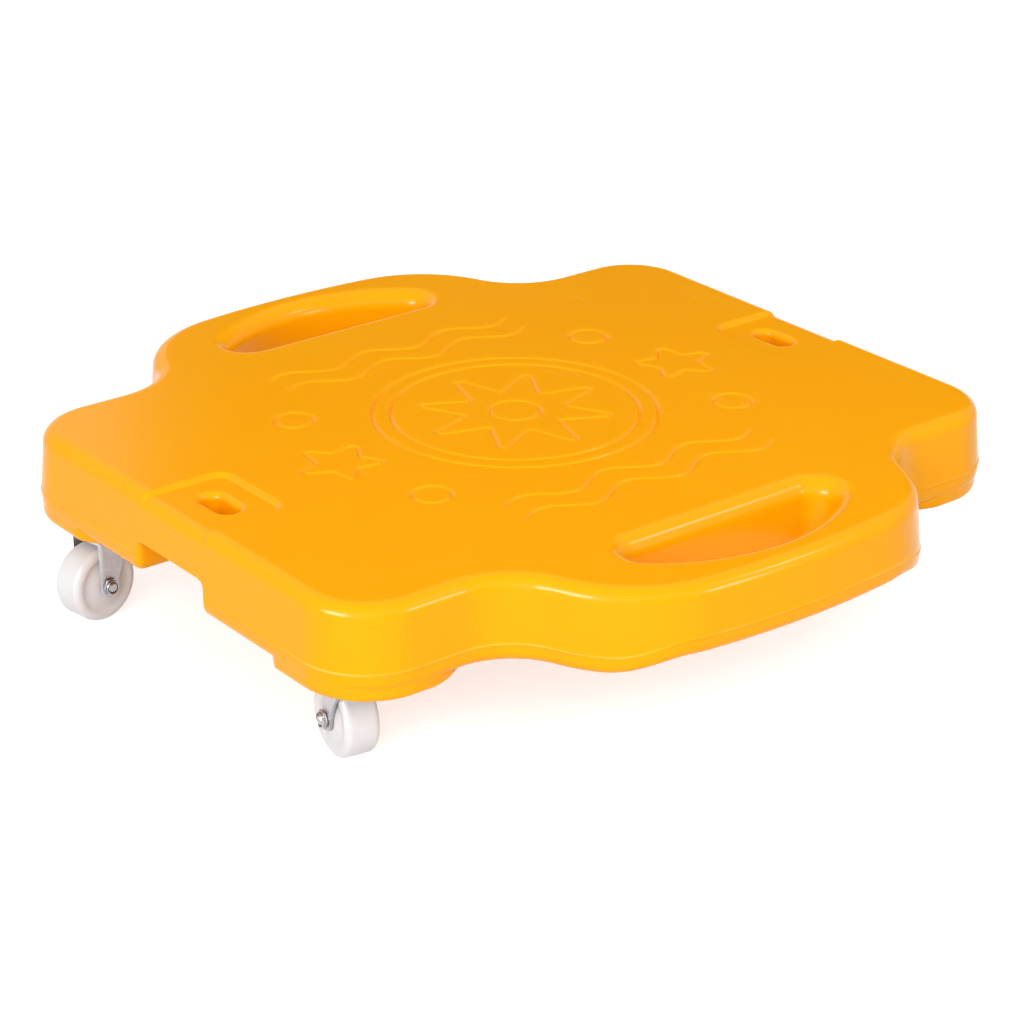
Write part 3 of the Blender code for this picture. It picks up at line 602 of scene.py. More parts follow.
lines = [(circle(0.0, 0.0, radius, 144), True) for radius in RING_RADII]
lines.append((star(0.0, COMPASS_REACH, COMPASS_NOTCH, COMPASS_POINTS), True))
lines.append((circle(0.0, 0.0, COMPASS_EYE, 48), True))
for side in (-1, 1):
    lines += [(wave(side * place), False) for place in WAVE_PLACES]
    place, turn = side * SIDE_STAR_PLACE, 90 - 90 * side
    lines.append((star(place, SIDE_STAR_REACH, SIDE_STAR_NOTCH, SIDE_STAR_POINTS, turn), True))
    for end in (-1, 1):
        lines.append((circle(side * DOT_PLACE[0], end * DOT_PLACE[1], DOT_RADIUS, 48), True))
cutters = [groove(evenly(points, closed, LINE_STEP), closed) for points, closed in lines]
shell = combined(shell, [joined(cutters, "grooves")], "DIFFERENCE")


def placed(name, mesh, finish, body, replaces, matrix=None, edge=35):
    """Adds a piece, smooth up to an edge angle, on the body that it rides on, and hides the CAD
    parts that it stands for.
    """
    piece = bpy.data.objects.new(name, mesh)
    bpy.context.scene.collection.objects.link(piece)
    piece.matrix_world = matrix or Matrix.Identity(4)
    mesh.materials.clear()
    mesh.materials.append(finish)
    mesh.shade_smooth()
    mesh.set_sharp_from_angle(angle=math.radians(edge))
    weighted = piece.modifiers.new("Weighted Normal", "WEIGHTED_NORMAL")
    weighted.keep_sharp = True
    weighted.weight = 100
    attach(piece, body)
    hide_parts(*replaces)
    return piece


class Wire:
    """A value, colour or vector on its way to a socket, used in sums as a number is."""

    def __init__(self, finish, socket):
        self.finish = finish
        self.socket = socket

    def maths(self, operation, first, second, clamp=False):
        settings = {"operation": operation, "use_clamp": clamp}
        return self.finish.node("ShaderNodeMath", settings, {0: first, 1: second})

    def __add__(self, other):
        return self.maths("ADD", self, other)

    def __radd__(self, other):
        return self.maths("ADD", other, self)

    def __sub__(self, other):
        return self.maths("SUBTRACT", self, other)

    def __rsub__(self, other):
        return self.maths("SUBTRACT", other, self)

    def __mul__(self, other):
        return self.maths("MULTIPLY", self, other)

    def __rmul__(self, other):
        return self.maths("MULTIPLY", other, self)

    def clamped(self):
        return self.maths("ADD", self, 0.0, clamp=True)


class Wiring:
    """One node tree, with a method that adds any node to it."""

    def __init__(self, tree):
        self.tree = tree

    def feed(self, node, values):
        for key, value in values.items():
            socket = node.inputs[key]
            if isinstance(value, Wire):
                self.tree.links.new(value.socket, socket)
            elif hasattr(value, "__len__") and len(value) == 3 and socket.type == "RGBA":
                socket.default_value = (*value, 1.0)
            else:
                socket.default_value = value

    def node(self, kind, settings=None, values=None, output=0):
        """Adds a node: its settings are set first, then the values and links of its sockets."""
        made = self.tree.nodes.new(kind)
        for key, value in (settings or {}).items():
            if key == "stops":
                ramp = made.color_ramp
                while len(ramp.elements) < len(value):
                    ramp.elements.new(1.0)
                for element, (position, colour) in zip(ramp.elements, value):
                    element.position = position
                    element.color = (*colour, 1.0)
            else:
                setattr(made, key, value)
        self.feed(made, values or {})
        return Wire(self, made.outputs[output]) if made.outputs else None


class Finish(Wiring):
    """A material whose uniform values sit on its Principled shader's own sockets."""

    def __init__(self, name, **values):
        self.material = bpy.data.materials.new(name)
        self.material.use_nodes = True
        super().__init__(self.material.node_tree)
        self.shader = self.tree.nodes["Principled BSDF"]
        self.surface(**values)

    def coordinates(self):
        return self.node("ShaderNodeTexCoord", output="Object")

    def noise(self, scale, detail=3.0, roughness=0.5, vector=None):
        values = {"Scale": scale, "Detail": detail, "Roughness": roughness}
        values["Vector"] = vector or self.coordinates()
        return self.node("ShaderNodeTexNoise", None, values)

    def stretched_noise(self, scales, turn=0.0, detail=2.0):
        """Noise drawn out along one way, as rubbed or brushed marks are."""
        values = {"Vector": self.coordinates(), "Rotation": (0.0, 0.0, turn), "Scale": scales}
        drawn = self.node("ShaderNodeMapping", {"vector_type": "POINT"}, values)
        return self.noise(1.0, detail, 0.5, drawn)

    def stepped(self, value, low, high):
        """0 where the value is under the low limit, 1 where it is over the high one."""
        stops = [(low, (0.0, 0.0, 0.0)), (high, (1.0, 1.0, 1.0))]
        return self.node("ShaderNodeValToRGB", {"stops": stops}, {"Fac": value})

    def blend(self, share, first, second):
        settings = {"data_type": "RGBA"}
        return self.node("ShaderNodeMix", settings, {0: share, 6: first, 7: second}, 2)

    def surface(self, **values):
        """Sets or links inputs of the shader."""
        self.feed(self.shader, {key.replace("_", " "): value for key, value in values.items()})
        return self.material

    def bump(self, height, distance):
        return self.node("ShaderNodeBump", None, {"Height": height, "Distance": distance})


def moulded_plastic():
    """Glossy yellow-orange polyethylene: cloudy colour, faint orange peel and hairlines."""
    made = Finish("deck_plastic", IOR=1.5, Specular_IOR_Level=0.11)
    cloud = made.noise(9.0, 4.0, 0.55)
    fine = made.noise(420.0, 3.0, 0.6)
    peel = made.noise(150.0, 2.0, 0.5)
    waviness = made.noise(22.0, 2.0, 0.45)
    scratch = made.stepped(made.stretched_noise((900.0, 14.0, 300.0), 0.6), 0.69, 0.76)
    colour = made.blend(cloud, (0.98, 0.375, 0.0006), (1.0, 0.405, 0.0012))
    colour = made.blend(fine * 0.05, colour, (0.97, 0.35, 0.0006))
    shine = 0.16 + cloud * 0.05 + fine * 0.03 + scratch * 0.10
    height = peel * 0.3 + waviness * 2.2 + fine * 0.04 - scratch * 0.2
    return made.surface(
        Base_Color=colour,
        Roughness=shine.clamped(),
        Normal=made.bump(height, distance=0.00008),
    )


def flash_and_painted_highlight():
    """The scraped parting ridge, duller than the rest of the plastic; its paler colour is partly
    scraped plastic and partly a painted highlight.
    """
    made = Finish("deck_flash_painted_highlight", IOR=1.5, Specular_IOR_Level=0.10)
    wear_and_highlight = made.noise(60.0, 4.0, 0.6)
    # Painted highlight: the pale broken streaks along the ridge are partly the scraped plastic's
    # own colour and partly a painted gleam.
    scrape_and_highlight = made.stepped(made.noise(25.0, 3.0, 0.5), 0.42, 0.62)
    pale = made.blend(wear_and_highlight, (1.0, 0.43, 0.012), (1.0, 0.50, 0.05))
    return made.surface(
        Base_Color=made.blend(scrape_and_highlight, (0.99, 0.40, 0.002), pale),
        Roughness=(0.34 + wear_and_highlight * 0.2).clamped(),
        Normal=made.bump(wear_and_highlight, distance=0.00005),
    )


deck = placed("moulded_deck", shell, moulded_plastic(), "board", ["deck"], edge=30)
shell.materials.append(flash_and_painted_highlight())
# Faces along the parting ridge take the flash finish, with its painted highlight.
for face in shell.polygons:
    heights = [shell.vertices[i].co for i in face.vertices]
    rises = [abs(co.z - lift(co.x, co.y) - PARTING) for co in heights]
    if max(rises) < FLASH_HEIGHT + FLASH_MARGIN:
        face.material_index = 1


# Caster top plates
# Each caster is fixed by a plate pressed from 1.7 mm steel sheet and plated with zinc, with
# eased edges, four screw holes and a ring pressed down from it, in which the balls run.

PLATE_LENGTH = 0.044
PLATE_WIDTH = 0.034
PLATE_THICKNESS = 0.0017
PLATE_CORNER = 0.004
PLATE_EASE = 0.0003
SHEET = 0.0014
SEAT_GAP = 0.0003
SWIVEL_RADIUS = 0.015
BALL_RADIUS = 0.00125
RACE_DEPTH = 0.0014
RACE_EASE = 0.0005
KINGPIN_RADIUS = 0.0039
SCREW_RADIUS = 0.0016
SCREW_EDGE = 0.0055
SCREW_CLEARANCE = 0.0005
RUNNING_GAP = 0.0003
PLATE_BASE = -SEAT_GAP - PLATE_THICKNESS
RACE_BASE = PLATE_BASE - RACE_DEPTH
BALL_CENTRE = RACE_BASE - SEAT_GAP - BALL_RADIUS
BALL_CIRCLE = SWIVEL_RADIUS - SHEET - SEAT_GAP - 2 * BALL_RADIUS


def zinc_plating():
    made = Finish("zinc_steel", Metallic=1.0)
    spangle = made.node(
        "ShaderNodeTexVoronoi",
        {"feature": "F1"},
        {"Scale": 420.0, "Vector": made.coordinates(), "Randomness": 1.0},
        "Distance",
    )
    grain = made.noise(900.0, 2.0, 0.6)
    cloud = made.noise(70.0, 3.0, 0.5)
    colour = made.blend(cloud, (0.38, 0.365, 0.38), (0.53, 0.51, 0.53))
    colour = made.blend(0.10, colour, made.blend(spangle, (0.2, 0.2, 0.2), (1.0, 1.0, 1.0)))
    return made.surface(
        Base_Color=colour,
        Roughness=(0.34 + cloud * 0.20 + grain * 0.08).clamped(),
        Normal=made.bump(grain, distance=0.00004),
    )


def seat_place(corner):
    """The frame of a caster's seat, level with the foot that it is screwed to."""
    pin = centre(f"kingpin_{corner}")
    return Matrix.Translation((pin.x, pin.y, SEAT))


def caster_place(corner):
    """The seat's frame turned so that the wheel trails towards -X."""
    trail = centre(f"kingpin_{corner}") - centre(f"wheel_{corner}")
    return seat_place(corner) @ Matrix.Rotation(math.atan2(trail.y, trail.x), 4, "Z")


def edged(plan, low, high, ease):
    """A flat piece between two heights, with both edges of its plan eased."""
    rings = [(i, low + z) for z, i in rounding(ease, 2, 0, 90)]
    rings += [(i, high - z) for i, z in rounding(ease, 2, 0, 90)]
    return stack(plan, rings)


def screw_places():
    along = PLATE_LENGTH / 2 - SCREW_EDGE
    across = PLATE_WIDTH / 2 - SCREW_EDGE
    return [(x * along, y * across) for x in (-1, 1) for y in (-1, 1)]


def mount_plate():
    def plan(inset):
        x, y = PLATE_LENGTH / 2 - inset, PLATE_WIDTH / 2 - inset
        return rounded_box(-x, x, y, PLATE_CORNER - inset, 8)

    plate = edged(plan, PLATE_BASE, -SEAT_GAP, PLATE_EASE)
    out, inner = BALL_CIRCLE + BALL_RADIUS, BALL_CIRCLE - BALL_RADIUS
    ease = RACE_EASE
    race = [(inner, PLATE_BASE + ease), (out, PLATE_BASE + ease)]
    race += arc(out - ease, RACE_BASE + ease, ease, 0, -90, 4)
    race += arc(inner + ease, RACE_BASE + ease, ease, -90, -180, 4)
    plate = combined(plate, [turned(race, 64)], "UNION")
    holes = [(x, y, SCREW_RADIUS + SCREW_CLEARANCE) for x, y in screw_places()]
    holes.append((0.0, 0.0, KINGPIN_RADIUS + RUNNING_GAP))
    bores = [
        lofted([[(px, py, z) for px, py in circle(x, y, radius, 32)] for z in (RACE_BASE, 0.0)])
        for x, y, radius in holes
    ]
    return combined(plate, [joined(bores)], "DIFFERENCE")


ZINC = zinc_plating()
PLATE = mount_plate()
for corner in CORNERS:
    node = f"mount_plate_{corner}"
    name = f"top_plate_{corner}"
    placed(name, PLATE, ZINC, "board", [node], seat_place(corner))

# Plate screws
# Four pan-head screws with a cross recess hold each plate. They are thread-cut into pilot
# holes in the foot, and are bright nickel-plated steel.

SCREW_HEAD_RADIUS = 0.0031
SCREW_HEAD = 0.0018
SCREW_HEAD_ROUND = 0.0012
SCREW_LENGTH = 0.0085
SCREW_TIP = 0.0016
SCREW_PITCH = 0.0011
SCREW_THREAD = 0.0004
SCREW_EASE = 0.0002
CROSS_WIDTH = 0.0007
CROSS_REACH = 0.0017
CROSS_DEPTH = 0.0011
CROSS_PAST = 0.001


def bright_plating():
    made = Finish("bright_steel", Metallic=1.0)
    marks = made.noise(600.0, 3.0, 0.6)
    cloud = made.noise(120.0, 2.0, 0.5)
    return made.surface(
        Base_Color=made.blend(cloud, (0.38, 0.37, 0.38), (0.54, 0.53, 0.54)),
        Roughness=(0.15 + marks * 0.14).clamped(),
        Normal=made.bump(marks, distance=0.00003),
    )


def screw():
    head = PLATE_BASE - SEAT_GAP
    end = head - SCREW_HEAD
    tip = head + SCREW_LENGTH
    profile = [(0.0, tip)]
    z = tip - SCREW_TIP
    while z > head + SCREW_PITCH:
        profile += [(SCREW_RADIUS, z), (SCREW_RADIUS - SCREW_THREAD, z - SCREW_PITCH / 2)]
        z -= SCREW_PITCH
    profile += [(SCREW_RADIUS - SCREW_EASE, head), (SCREW_HEAD_RADIUS - SCREW_EASE, head)]
    shoulder = SCREW_HEAD_RADIUS - SCREW_HEAD_ROUND
    profile += arc(shoulder, end + SCREW_HEAD_ROUND, SCREW_HEAD_ROUND, 0, -90, 6)
    profile.append((0.0, end))
    made = turned(profile, 36)
    bars = []
    for turn in (0, 90):
        ends = [(CROSS_REACH, CROSS_WIDTH / 2, end - CROSS_PAST)]
        ends.append((CROSS_REACH * 0.35, CROSS_WIDTH * 0.35, end + CROSS_DEPTH))
        rings = [[(-x, -y, z), (x, -y, z), (x, y, z), (-x, y, z)] for x, y, z in ends]
        bars.append(moved(lofted(rings), Matrix.Rotation(math.radians(turn), 4, "Z")))
    return combined(made, bars, "DIFFERENCE")


STEEL = bright_plating()
SCREW = screw()
for corner in CORNERS:
    for number in range(1, 5):
        node = f"screw_{corner}_{number}"
        spot = centre(node)
        turn = Matrix.Rotation(math.radians(37 * number + 11 * len(corner)), 4, "Z")
        place = Matrix.Translation((spot.x, spot.y, SEAT)) @ turn
        name = f"plate_screw_{corner}_{number}"
        placed(name, SCREW, STEEL, "board", [node], place)

# Kingpins and bearing balls
# A rivet through the middle of the plate carries the fork. Round it a ring of loose hardened
# balls runs between the plate's pressed ring and the fork's cup.

KINGPIN_HEAD_RADIUS = 0.0062
KINGPIN_HEAD = 0.0018
KINGPIN_EASE = 0.0009
CROWN_TOP = BALL_CENTRE - BALL_RADIUS - SEAT_GAP
CROWN_BASE = CROWN_TOP - SHEET
BALL_COUNT = 25


def kingpin():
    low = CROWN_BASE - SEAT_GAP
    head = KINGPIN_HEAD_RADIUS
    ease = KINGPIN_EASE
    profile = [(0.0, KINGPIN_HEAD)]
    profile += arc(head - ease, KINGPIN_HEAD - ease, ease, 90, 0, 4)
    profile += [(head, 0.0), (KINGPIN_RADIUS, 0.0), (KINGPIN_RADIUS, low), (head, low)]
    dome = (head**2 + KINGPIN_HEAD**2) / (2 * KINGPIN_HEAD)
    start = math.degrees(math.asin(head / dome))
    profile += arc(0.0, low - KINGPIN_HEAD + dome, dome, start - 90, -90, 8)[1:]
    profile[-1] = (0.0, low - KINGPIN_HEAD)
    return turned(profile, 40)


def ball():
    profile = arc(0.0, BALL_CENTRE, BALL_RADIUS, 90, -90, 10)
    profile[0] = (0.0, BALL_CENTRE + BALL_RADIUS)
    profile[-1] = (0.0, BALL_CENTRE - BALL_RADIUS)
    return turned(profile, 16)


def ball_ring():
    one = ball()
    out = Matrix.Translation((BALL_CIRCLE, 0.0, 0.0))
    turns = [Matrix.Rotation(math.tau * i / BALL_COUNT, 4, "Z") for i in range(BALL_COUNT)]
    return joined([moved(one, turn @ out) for turn in turns])


KINGPIN = kingpin()
BALLS = ball_ring()
for corner in CORNERS:
    place = seat_place(corner)
    node = f"kingpin_{corner}"
    placed(f"rivet_{corner}", KINGPIN, STEEL, "board", [node], place)
    node = f"ball_ring_{corner}"
    placed(f"balls_{corner}", BALLS, STEEL, "board", [node], place)

# Forks
# Each fork is pressed from one piece of 1.4 mm zinc-plated sheet: a cup for the balls, a flat
# crown, and two legs bent down from it that slant back to round ends at the axle.

WHEEL_DIAMETER = 0.038
WHEEL_WIDTH = 0.017
TRAIL = 0.0155
FORK_FRONT = 0.0113
TREAD_GAP = 0.0009
BEND = 0.0030
LEG_CURVE = 0.004
CROWN_CORNER = 0.0045
CUP_EASE = 0.0006
CUP_SUNK = 0.0002
CUP_PROUD = 0.0003
PAST = 0.001  # how far a cutter runs past the sheet
HALF_SPAN = 0.02  # further to each side than a fork reaches
BOLT_RADIUS = 0.0025
NUT_ACROSS_FLATS = 0.008
LEG_INNER = WHEEL_WIDTH / 2 + TREAD_GAP
LEG_OUTER = LEG_INNER + SHEET
LEG_BOSS = NUT_ACROSS_FLATS / 2 + SHEET + RUNNING_GAP
AXLE_Z = WHEEL_DIAMETER / 2 - SEAT


def extruded(loop, low, high, place):
    """A flat loop (u, v) carried from one distance to another by a placing function."""
    return lofted([[place(u, v, w) for u, v in loop] for w in (low, high)])


def fork():
    base = AXLE_Z - LEG_BOSS - PAST
    outer = arc(LEG_OUTER - BEND, CROWN_TOP - BEND, BEND, 0, 90, 8)
    inner = arc(LEG_OUTER - BEND, CROWN_TOP - BEND, BEND - SHEET, 90, 0, 8)
    half = [(LEG_OUTER, base)] + outer
    hollow = inner + [(LEG_INNER, base)]
    section = half + [(-y, z) for y, z in reversed(half)]
    section += [(-y, z) for y, z in reversed(hollow)] + hollow
    back = -TRAIL - LEG_BOSS
    ends = (back - 2 * PAST, FORK_FRONT + 2 * PAST)
    sheet = extruded(section, *ends, lambda y, z, x: (x, y, z))
    front = -TRAIL + LEG_BOSS
    side = arc(-TRAIL, AXLE_Z, LEG_BOSS, 0, -180, 24)
    side += [(back, CROWN_TOP + PAST), (FORK_FRONT, CROWN_TOP + PAST)]
    for i in range(16):
        t = i / 16
        near, middle, far = (1 - t) ** 2, 2 * t * (1 - t), t**2
        x = near * FORK_FRONT + middle * (front + LEG_CURVE) + far * front
        side.append((x, near * CROWN_BASE + middle * (CROWN_BASE - LEG_CURVE) + far * AXLE_Z))
    outline = extruded(side, -HALF_SPAN, HALF_SPAN, lambda x, z, y: (x, y, z))
    crown = rounded_box(back, FORK_FRONT, LEG_OUTER + FLARE, CROWN_CORNER, 8)
    from_above = extruded(crown, base - PAST, 0.0, lambda x, y, z: (x, y, z))
    body = combined(sheet, [outline, from_above], "INTERSECT")
    ease = CUP_EASE
    rim = BALL_CENTRE
    floor, under = CROWN_TOP - CUP_SUNK, CROWN_BASE + CUP_PROUD
    cup = [(0.0, floor), (SWIVEL_RADIUS - SHEET, floor)]
    cup += arc(SWIVEL_RADIUS - SHEET + ease, rim - ease, ease, 180, 90, 3)
    cup += arc(SWIVEL_RADIUS - ease, rim - ease, ease, 90, 0, 3)
    cup += arc(SWIVEL_RADIUS - ease, under + ease, ease, 0, -90, 3)
    cup.append((0.0, under))
    body = combined(body, [turned(cup, 72)], "UNION")
    pin = circle(0.0, 0.0, KINGPIN_RADIUS + RUNNING_GAP, 32)
    bolt = circle(-TRAIL, AXLE_Z, BOLT_RADIUS + RUNNING_GAP, 32)
    bores = [
        extruded(pin, CROWN_BASE - PAST, CROWN_TOP + PAST, lambda x, y, z: (x, y, z)),
        extruded(bolt, -HALF_SPAN, HALF_SPAN, lambda x, z, y: (x, y, z)),
    ]
    return combined(body, [joined(bores)], "DIFFERENCE")


FORK = fork()
for corner in CORNERS:
    node = f"fork_{corner}"
    body = f"caster_{corner}"
    placed(f"pressed_{node}", FORK, ZINC, body, [node], caster_place(corner))

# Wheels
# Small solid wheels of white nylon, injection moulded and slightly translucent, with a dished
# face on each side, a hub that bulges out to the fork, and a rounded tread.

HUB_GAP = 0.0006
HUB_EASE = 0.0003
HUB_TOP_RADIUS = 0.0054
DISH_RADIUS = 0.0122
FACE_DISH = 0.0007
TREAD_ROUND = 0.0034
TREAD_CROWN = 0.00012
SLEEVE_WALL = 0.0007
SLEEVE_RADIUS = BOLT_RADIUS + RUNNING_GAP + SLEEVE_WALL


def nylon():
    made = Finish("wheel_nylon", IOR=1.5, Specular_IOR_Level=0.4)
    made.surface(Subsurface_Weight=0.7, Subsurface_Radius=(0.009, 0.007, 0.0065))
    cloud = made.noise(160.0, 4.0, 0.55)
    fine = made.noise(1400.0, 2.0, 0.5)
    return made.surface(
        Base_Color=made.blend(cloud, (0.74, 0.73, 0.745), (0.81, 0.80, 0.815)),
        Roughness=(0.34 + cloud * 0.12).clamped(),
        Normal=made.bump(cloud + fine * 0.3, distance=0.00005),
    )


def wheel():
    """Half a section from the bore over the hub, the dished face and the rim to the tread."""
    radius, half = WHEEL_DIAMETER / 2, WHEEL_WIDTH / 2
    bore = SLEEVE_RADIUS + RUNNING_GAP
    hub = LEG_INNER - HUB_GAP
    face = half - FACE_DISH
    rim = radius - TREAD_ROUND
    profile = [(bore, hub - HUB_EASE), (bore + HUB_EASE, hub)]
    profile += slope(HUB_TOP_RADIUS, hub, DISH_RADIUS, face, 14)
    profile += slope(DISH_RADIUS + HUB_EASE, face, rim, half, 10)
    profile += arc(rim, half - TREAD_ROUND, TREAD_ROUND, 90, 8, 10)
    profile += [(radius - TREAD_CROWN, half * 0.5), (radius, half * 0.15)]
    profile += [(r, -z) for r, z in reversed(profile)]
    return on_axle(turned(profile, 112))


def slope(r0, z0, r1, z1, steps):
    """Points on a soft S-shaped slope between two radii, without its last one."""
    found = []
    for i in range(steps):
        share = eased(i / steps, 0.0, 1.0)
        found.append((r0 + (r1 - r0) * i / steps, z0 + (z1 - z0) * share))
    return found


def on_axle(mesh):
    """Lays a piece made along Z across the fork, its +Z end towards -Y, on the axle."""
    place = Matrix.Translation((-TRAIL, 0.0, AXLE_Z))
    return moved(mesh, place @ Matrix.Rotation(math.radians(90), 4, "X"))


NYLON = nylon()
WHEEL = wheel()
for corner in CORNERS:
    node = f"wheel_{corner}"
    body = f"roller_{corner}"
    placed(f"nylon_{node}", WHEEL, NYLON, body, [node], caster_place(corner))

# Axles
# A hexagon bolt runs through both legs and through a plated tube on which the wheel turns. A
# hexagon lock nut with a rounded collar holds it, and the bolt's end shows in the collar.

BOLT_HEAD = 0.0024
BOLT_EASE = 0.0003
BOLT_PITCH = 0.0008
BOLT_THREAD = 0.0003
BOLT_SUNK = 0.0005
BOLT_PAST_NUT = 0.0003
NUT_THICKNESS = 0.0025
HEXAGON_SHARE = 0.6  # of the nut's thickness, with the collar above it
CORNER_EASE = 0.6  # of the way from a flat to a corner
COLLAR_STEP = 0.0003
COLLAR_EASE = 0.0004
COLLAR_ROOT = 0.0005
COLLAR_WALL = 0.0006
COLLAR_LIP = 0.0002
COLLAR_GROOVE = 0.0014


def axle_sleeve():
    half = LEG_INNER - SEAT_GAP
    inner = BOLT_RADIUS + RUNNING_GAP
    profile = [(inner, half), (SLEEVE_RADIUS, half), (SLEEVE_RADIUS, -half), (inner, -half)]
    return on_axle(turned(profile, 40))


def hexagon(low, high, eased_low, eased_high):
    """A hexagon prism whose corners are turned off at one end or both."""
    corner = NUT_ACROSS_FLATS / math.sqrt(3)
    flat = NUT_ACROSS_FLATS / 2
    chamfer = (corner - flat) * CORNER_EASE
    prism = extruded(circle(0.0, 0.0, corner, 6), low, high, lambda x, y, z: (x, y, z))
    end = flat - FLARE
    shape = [(0.0, high + PAST)]
    if eased_high:
        shape += [(end, high + PAST), (end, high), (corner, high - chamfer)]
    shape.append((corner + PAST, high - chamfer if eased_high else high + PAST))
    shape.append((corner + PAST, low + chamfer if eased_low else low - PAST))
    if eased_low:
        shape += [(corner, low + chamfer), (end, low), (end, low - PAST)]
    shape.append((0.0, low - PAST))
    return combined(prism, [turned(shape, 60)], "INTERSECT")


def axle_bolt():
    under = -LEG_OUTER - SEAT_GAP
    end = LEG_OUTER + SEAT_GAP + NUT_THICKNESS + BOLT_PAST_NUT
    head = hexagon(under - BOLT_HEAD, under, True, False)
    root = BOLT_RADIUS - BOLT_THREAD
    profile = [(0.0, end), (root - BOLT_EASE, end), (root, end - BOLT_EASE)]
    for turn in range(1, 4):
        z = end - BOLT_EASE - BOLT_PITCH * turn
        profile += [(BOLT_RADIUS, z + BOLT_PITCH / 2), (root, z)]
    sunk = under - BOLT_SUNK
    profile += [(BOLT_RADIUS, LEG_OUTER), (BOLT_RADIUS, sunk), (0.0, sunk)]
    return on_axle(combined(head, [turned(profile, 40)], "UNION"))


def axle_nut():
    low = LEG_OUTER + SEAT_GAP
    high = low + NUT_THICKNESS
    hexed = low + NUT_THICKNESS * HEXAGON_SHARE
    body = hexagon(low, hexed, True, True)
    out = NUT_ACROSS_FLATS / 2 - COLLAR_STEP
    ease = COLLAR_EASE
    collar = [(0.0, hexed - COLLAR_ROOT), (out, hexed - COLLAR_ROOT)]
    collar += arc(out - ease, high - ease, ease, 0, 90, 5)
    inner = BOLT_RADIUS + COLLAR_WALL
    collar += [(inner + COLLAR_LIP, high), (inner, high - COLLAR_LIP)]
    collar += [(inner, high - COLLAR_GROOVE), (0.0, high - COLLAR_GROOVE)]
    body = combined(body, [turned(collar[::-1], 60)], "UNION")
    hole = circle(0.0, 0.0, BOLT_RADIUS + RUNNING_GAP, 40)
    bore = extruded(hole, low - PAST, high + PAST, lambda x, y, z: (x, y, z))
    return on_axle(combined(body, [bore], "DIFFERENCE"))


AXLE_PIECES = {
    "axle_sleeve": ("axle_tube", axle_sleeve(), ZINC, "zinc_steel"),
    "axle_bolt": ("hexagon_bolt", axle_bolt(), STEEL, "bright_steel"),
    "axle_nut": ("lock_nut", axle_nut(), STEEL, "bright_steel"),
}
for corner in CORNERS:
    for kind, (name, mesh, look, slot) in AXLE_PIECES.items():
        place = caster_place(corner)
        body = f"caster_{corner}"
        placed(f"{name}_{corner}", mesh, look, body, [f"{kind}_{corner}"], place)

# Floor
# A plain pale studio floor, which shows white to the camera and keeps the board's shadow.

WHITE = 1.0
DOME = 0.52
FLOOR_SHADE = 0.68
FLOOR_REACH = 12.0


def seen_directly(wiring):
    """1 for rays that come straight from the camera or off a mirror or through glass."""
    path = wiring.tree.nodes.new("ShaderNodeLightPath")
    kinds = ("Is Camera Ray", "Is Glossy Ray", "Is Transmission Ray")
    camera_ray, glossy, through = (Wire(wiring, path.outputs[kind]) for kind in kinds)
    return (camera_ray + glossy + through).clamped()


bm = bmesh.new()
bmesh.ops.create_grid(bm, x_segments=8, y_segments=8, size=FLOOR_REACH)
floor = bpy.data.objects.new("studio_floor", new_mesh(bm, "studio_floor"))
bpy.context.scene.collection.objects.link(floor)
paint = bpy.data.materials.new("studio_floor")
paint.use_nodes = True
paint.node_tree.nodes.clear()
painted = Wiring(paint.node_tree)
matt = painted.node("ShaderNodeBsdfDiffuse", None, {"Color": (FLOOR_SHADE,) * 3})
strength = seen_directly(painted) * FLOOR_SHADE
glow = painted.node("ShaderNodeEmission", None, {"Color": (1.0, 1.0, 1.0), "Strength": strength})
both = painted.node("ShaderNodeAddShader", None, {0: matt, 1: glow})
painted.node("ShaderNodeOutputMaterial", None, {"Surface": both})
floor.data.materials.append(paint)

# Studio light and camera
# A pale dome with soft lamps from the left, the front and above, three lamps that give streaks
# of gloss, and a long lens that looks down at the board's front corner.

world = bpy.data.worlds.new("studio")
bpy.context.scene.world = world
world.use_nodes = True
world.node_tree.nodes.clear()
sky = Wiring(world.node_tree)
strength = DOME + seen_directly(sky) * (WHITE - DOME)
dome = sky.node("ShaderNodeBackground", None, {"Color": (1.0, 1.0, 1.0), "Strength": strength})
sky.node("ShaderNodeOutputWorld", None, {"Surface": dome})


def softbox(name, towards, distance, size, power):
    """A square lamp that looks at the board from a direction."""
    data = bpy.data.lights.new(name, "AREA")
    data.shape = "RECTANGLE"
    data.size, data.size_y = size
    data.energy = power
    lamp = bpy.data.objects.new(name, data)
    bpy.context.scene.collection.objects.link(lamp)
    way = Vector(towards).normalized()
    lamp.location = way * distance + Vector((0.0, 0.0, DECK_TOP))
    lamp.rotation_euler = way.to_track_quat("Z", "Y").to_euler()
    return lamp


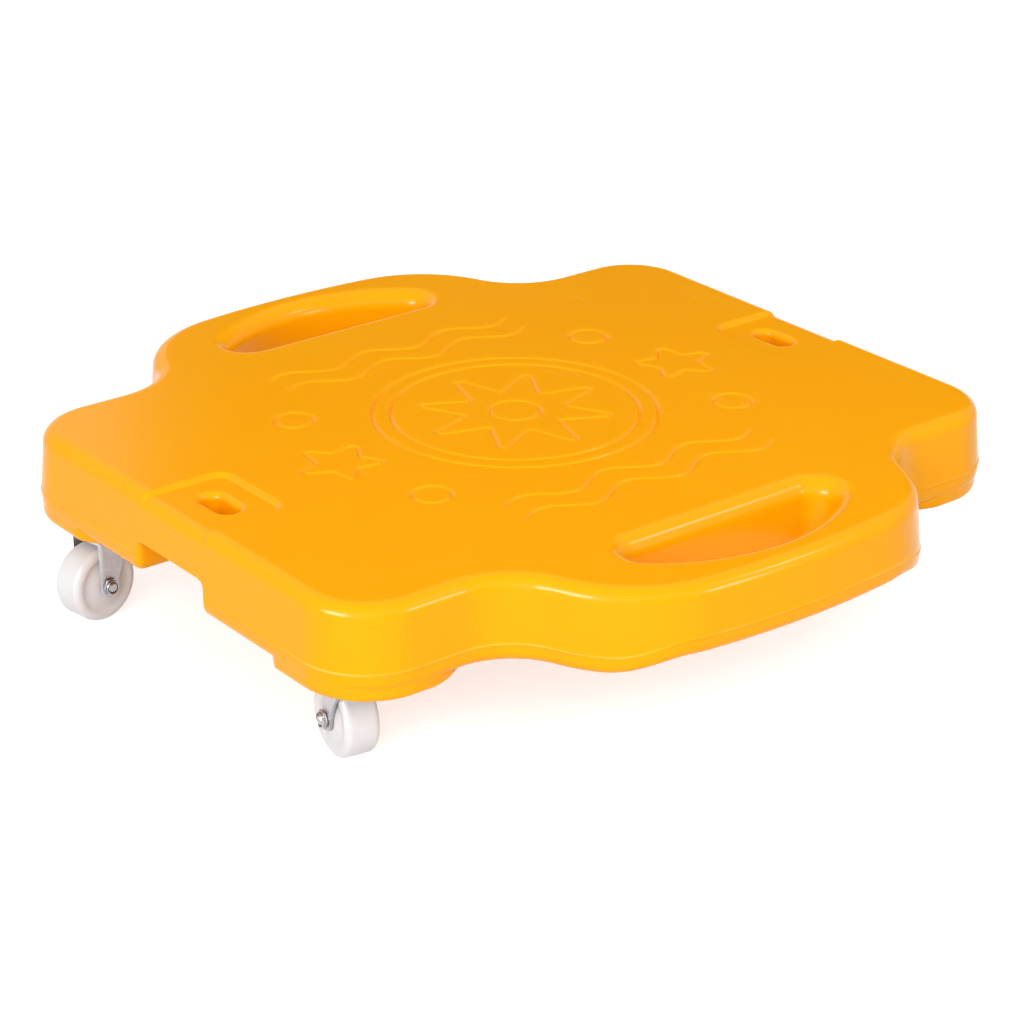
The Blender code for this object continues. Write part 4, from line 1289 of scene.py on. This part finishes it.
# The softboxes light the board without showing in its gloss. The glints are seen only in
# gloss, and give the short bright streaks on its rounded edges.
softboxes = [
    softbox("softbox_top", (0.20, 0.05, 0.98), 1.8, (0.34, 0.34), 5.0),
    softbox("softbox_left", (-0.80, -0.50, 0.42), 2.2, (1.6, 1.2), 31.0),
    softbox("softbox_front", (-0.15, -0.78, 0.60), 2.0, (1.2, 0.6), 10.5),
]
for lamp in softboxes:
    lamp.visible_glossy = False
glints = [
    softbox("glint_right", (0.40, -0.86, 0.34), 1.8, (0.3, 0.3), 9.5),
    softbox("glint_left", (-0.92, -0.12, 0.37), 2.2, (1.2, 0.5), 85.0),
    softbox("glint_rim", (0.56, -0.53, 0.635), 1.8, (0.22, 0.22), 5.0),
]
for lamp in glints:
    lamp.visible_diffuse = False

# A dark card behind the board, seen only in gloss, keeps the top's colour deep.
CARD_AWAY = 2.2
CARD_SIDEWAYS = 0.57
bm = bmesh.new()
bmesh.ops.create_grid(bm, x_segments=4, y_segments=2, size=0.5)
card = bpy.data.objects.new("dark_card", new_mesh(bm, "dark_card"))
bpy.context.scene.collection.objects.link(card)
felt = Finish("dark_card", Base_Color=(0.012, 0.012, 0.012), Specular_IOR_Level=0.0)
card.data.materials.append(felt.surface(Roughness=(0.8 + felt.noise(40.0) * 0.2).clamped()))
away = Vector((0.56, 0.718, 0.413)).normalized()
card.scale = (2.1, 1.1, 1.0)
sideways = Vector((0.788, -0.615, 0.0))
card.location = away * CARD_AWAY + sideways * CARD_SIDEWAYS + Vector((0.0, 0.0, DECK_TOP))
card.rotation_euler = away.to_track_quat("Z", "Y").to_euler()
card.visible_camera = False
card.visible_diffuse = False
card.visible_shadow = False

TURN = math.radians(-37.97)
RAISE = math.radians(24.41)
LENS_PIXELS = 2912.0
IMAGE_PIXELS = 1024
SENSOR = 36.0
DISTANCE = 1.4221
AIM_HEIGHT = 0.0947
AIM_RIGHT = -0.00145
AIM_UP = -0.0494
back = Vector(
    (math.sin(TURN) * math.cos(RAISE), -math.cos(TURN) * math.cos(RAISE), math.sin(RAISE))
)
right = Vector((math.cos(TURN), math.sin(TURN), 0.0))
up = back.cross(right)
data = bpy.data.cameras.new("photo_camera")
data.lens = SENSOR * LENS_PIXELS / IMAGE_PIXELS
data.sensor_width = SENSOR
data.clip_start = 0.05
data.clip_end = 60.0
camera = bpy.data.objects.new("photo_camera", data)
bpy.context.scene.collection.objects.link(camera)
place = Vector((0.0, 0.0, AIM_HEIGHT)) + back * DISTANCE + right * AIM_RIGHT + up * AIM_UP
camera.matrix_world = Matrix.Translation(place) @ Matrix((right, up, back)).transposed().to_4x4()
bpy.context.scene.camera = camera
bpy.context.scene.view_settings.view_transform = "Standard"
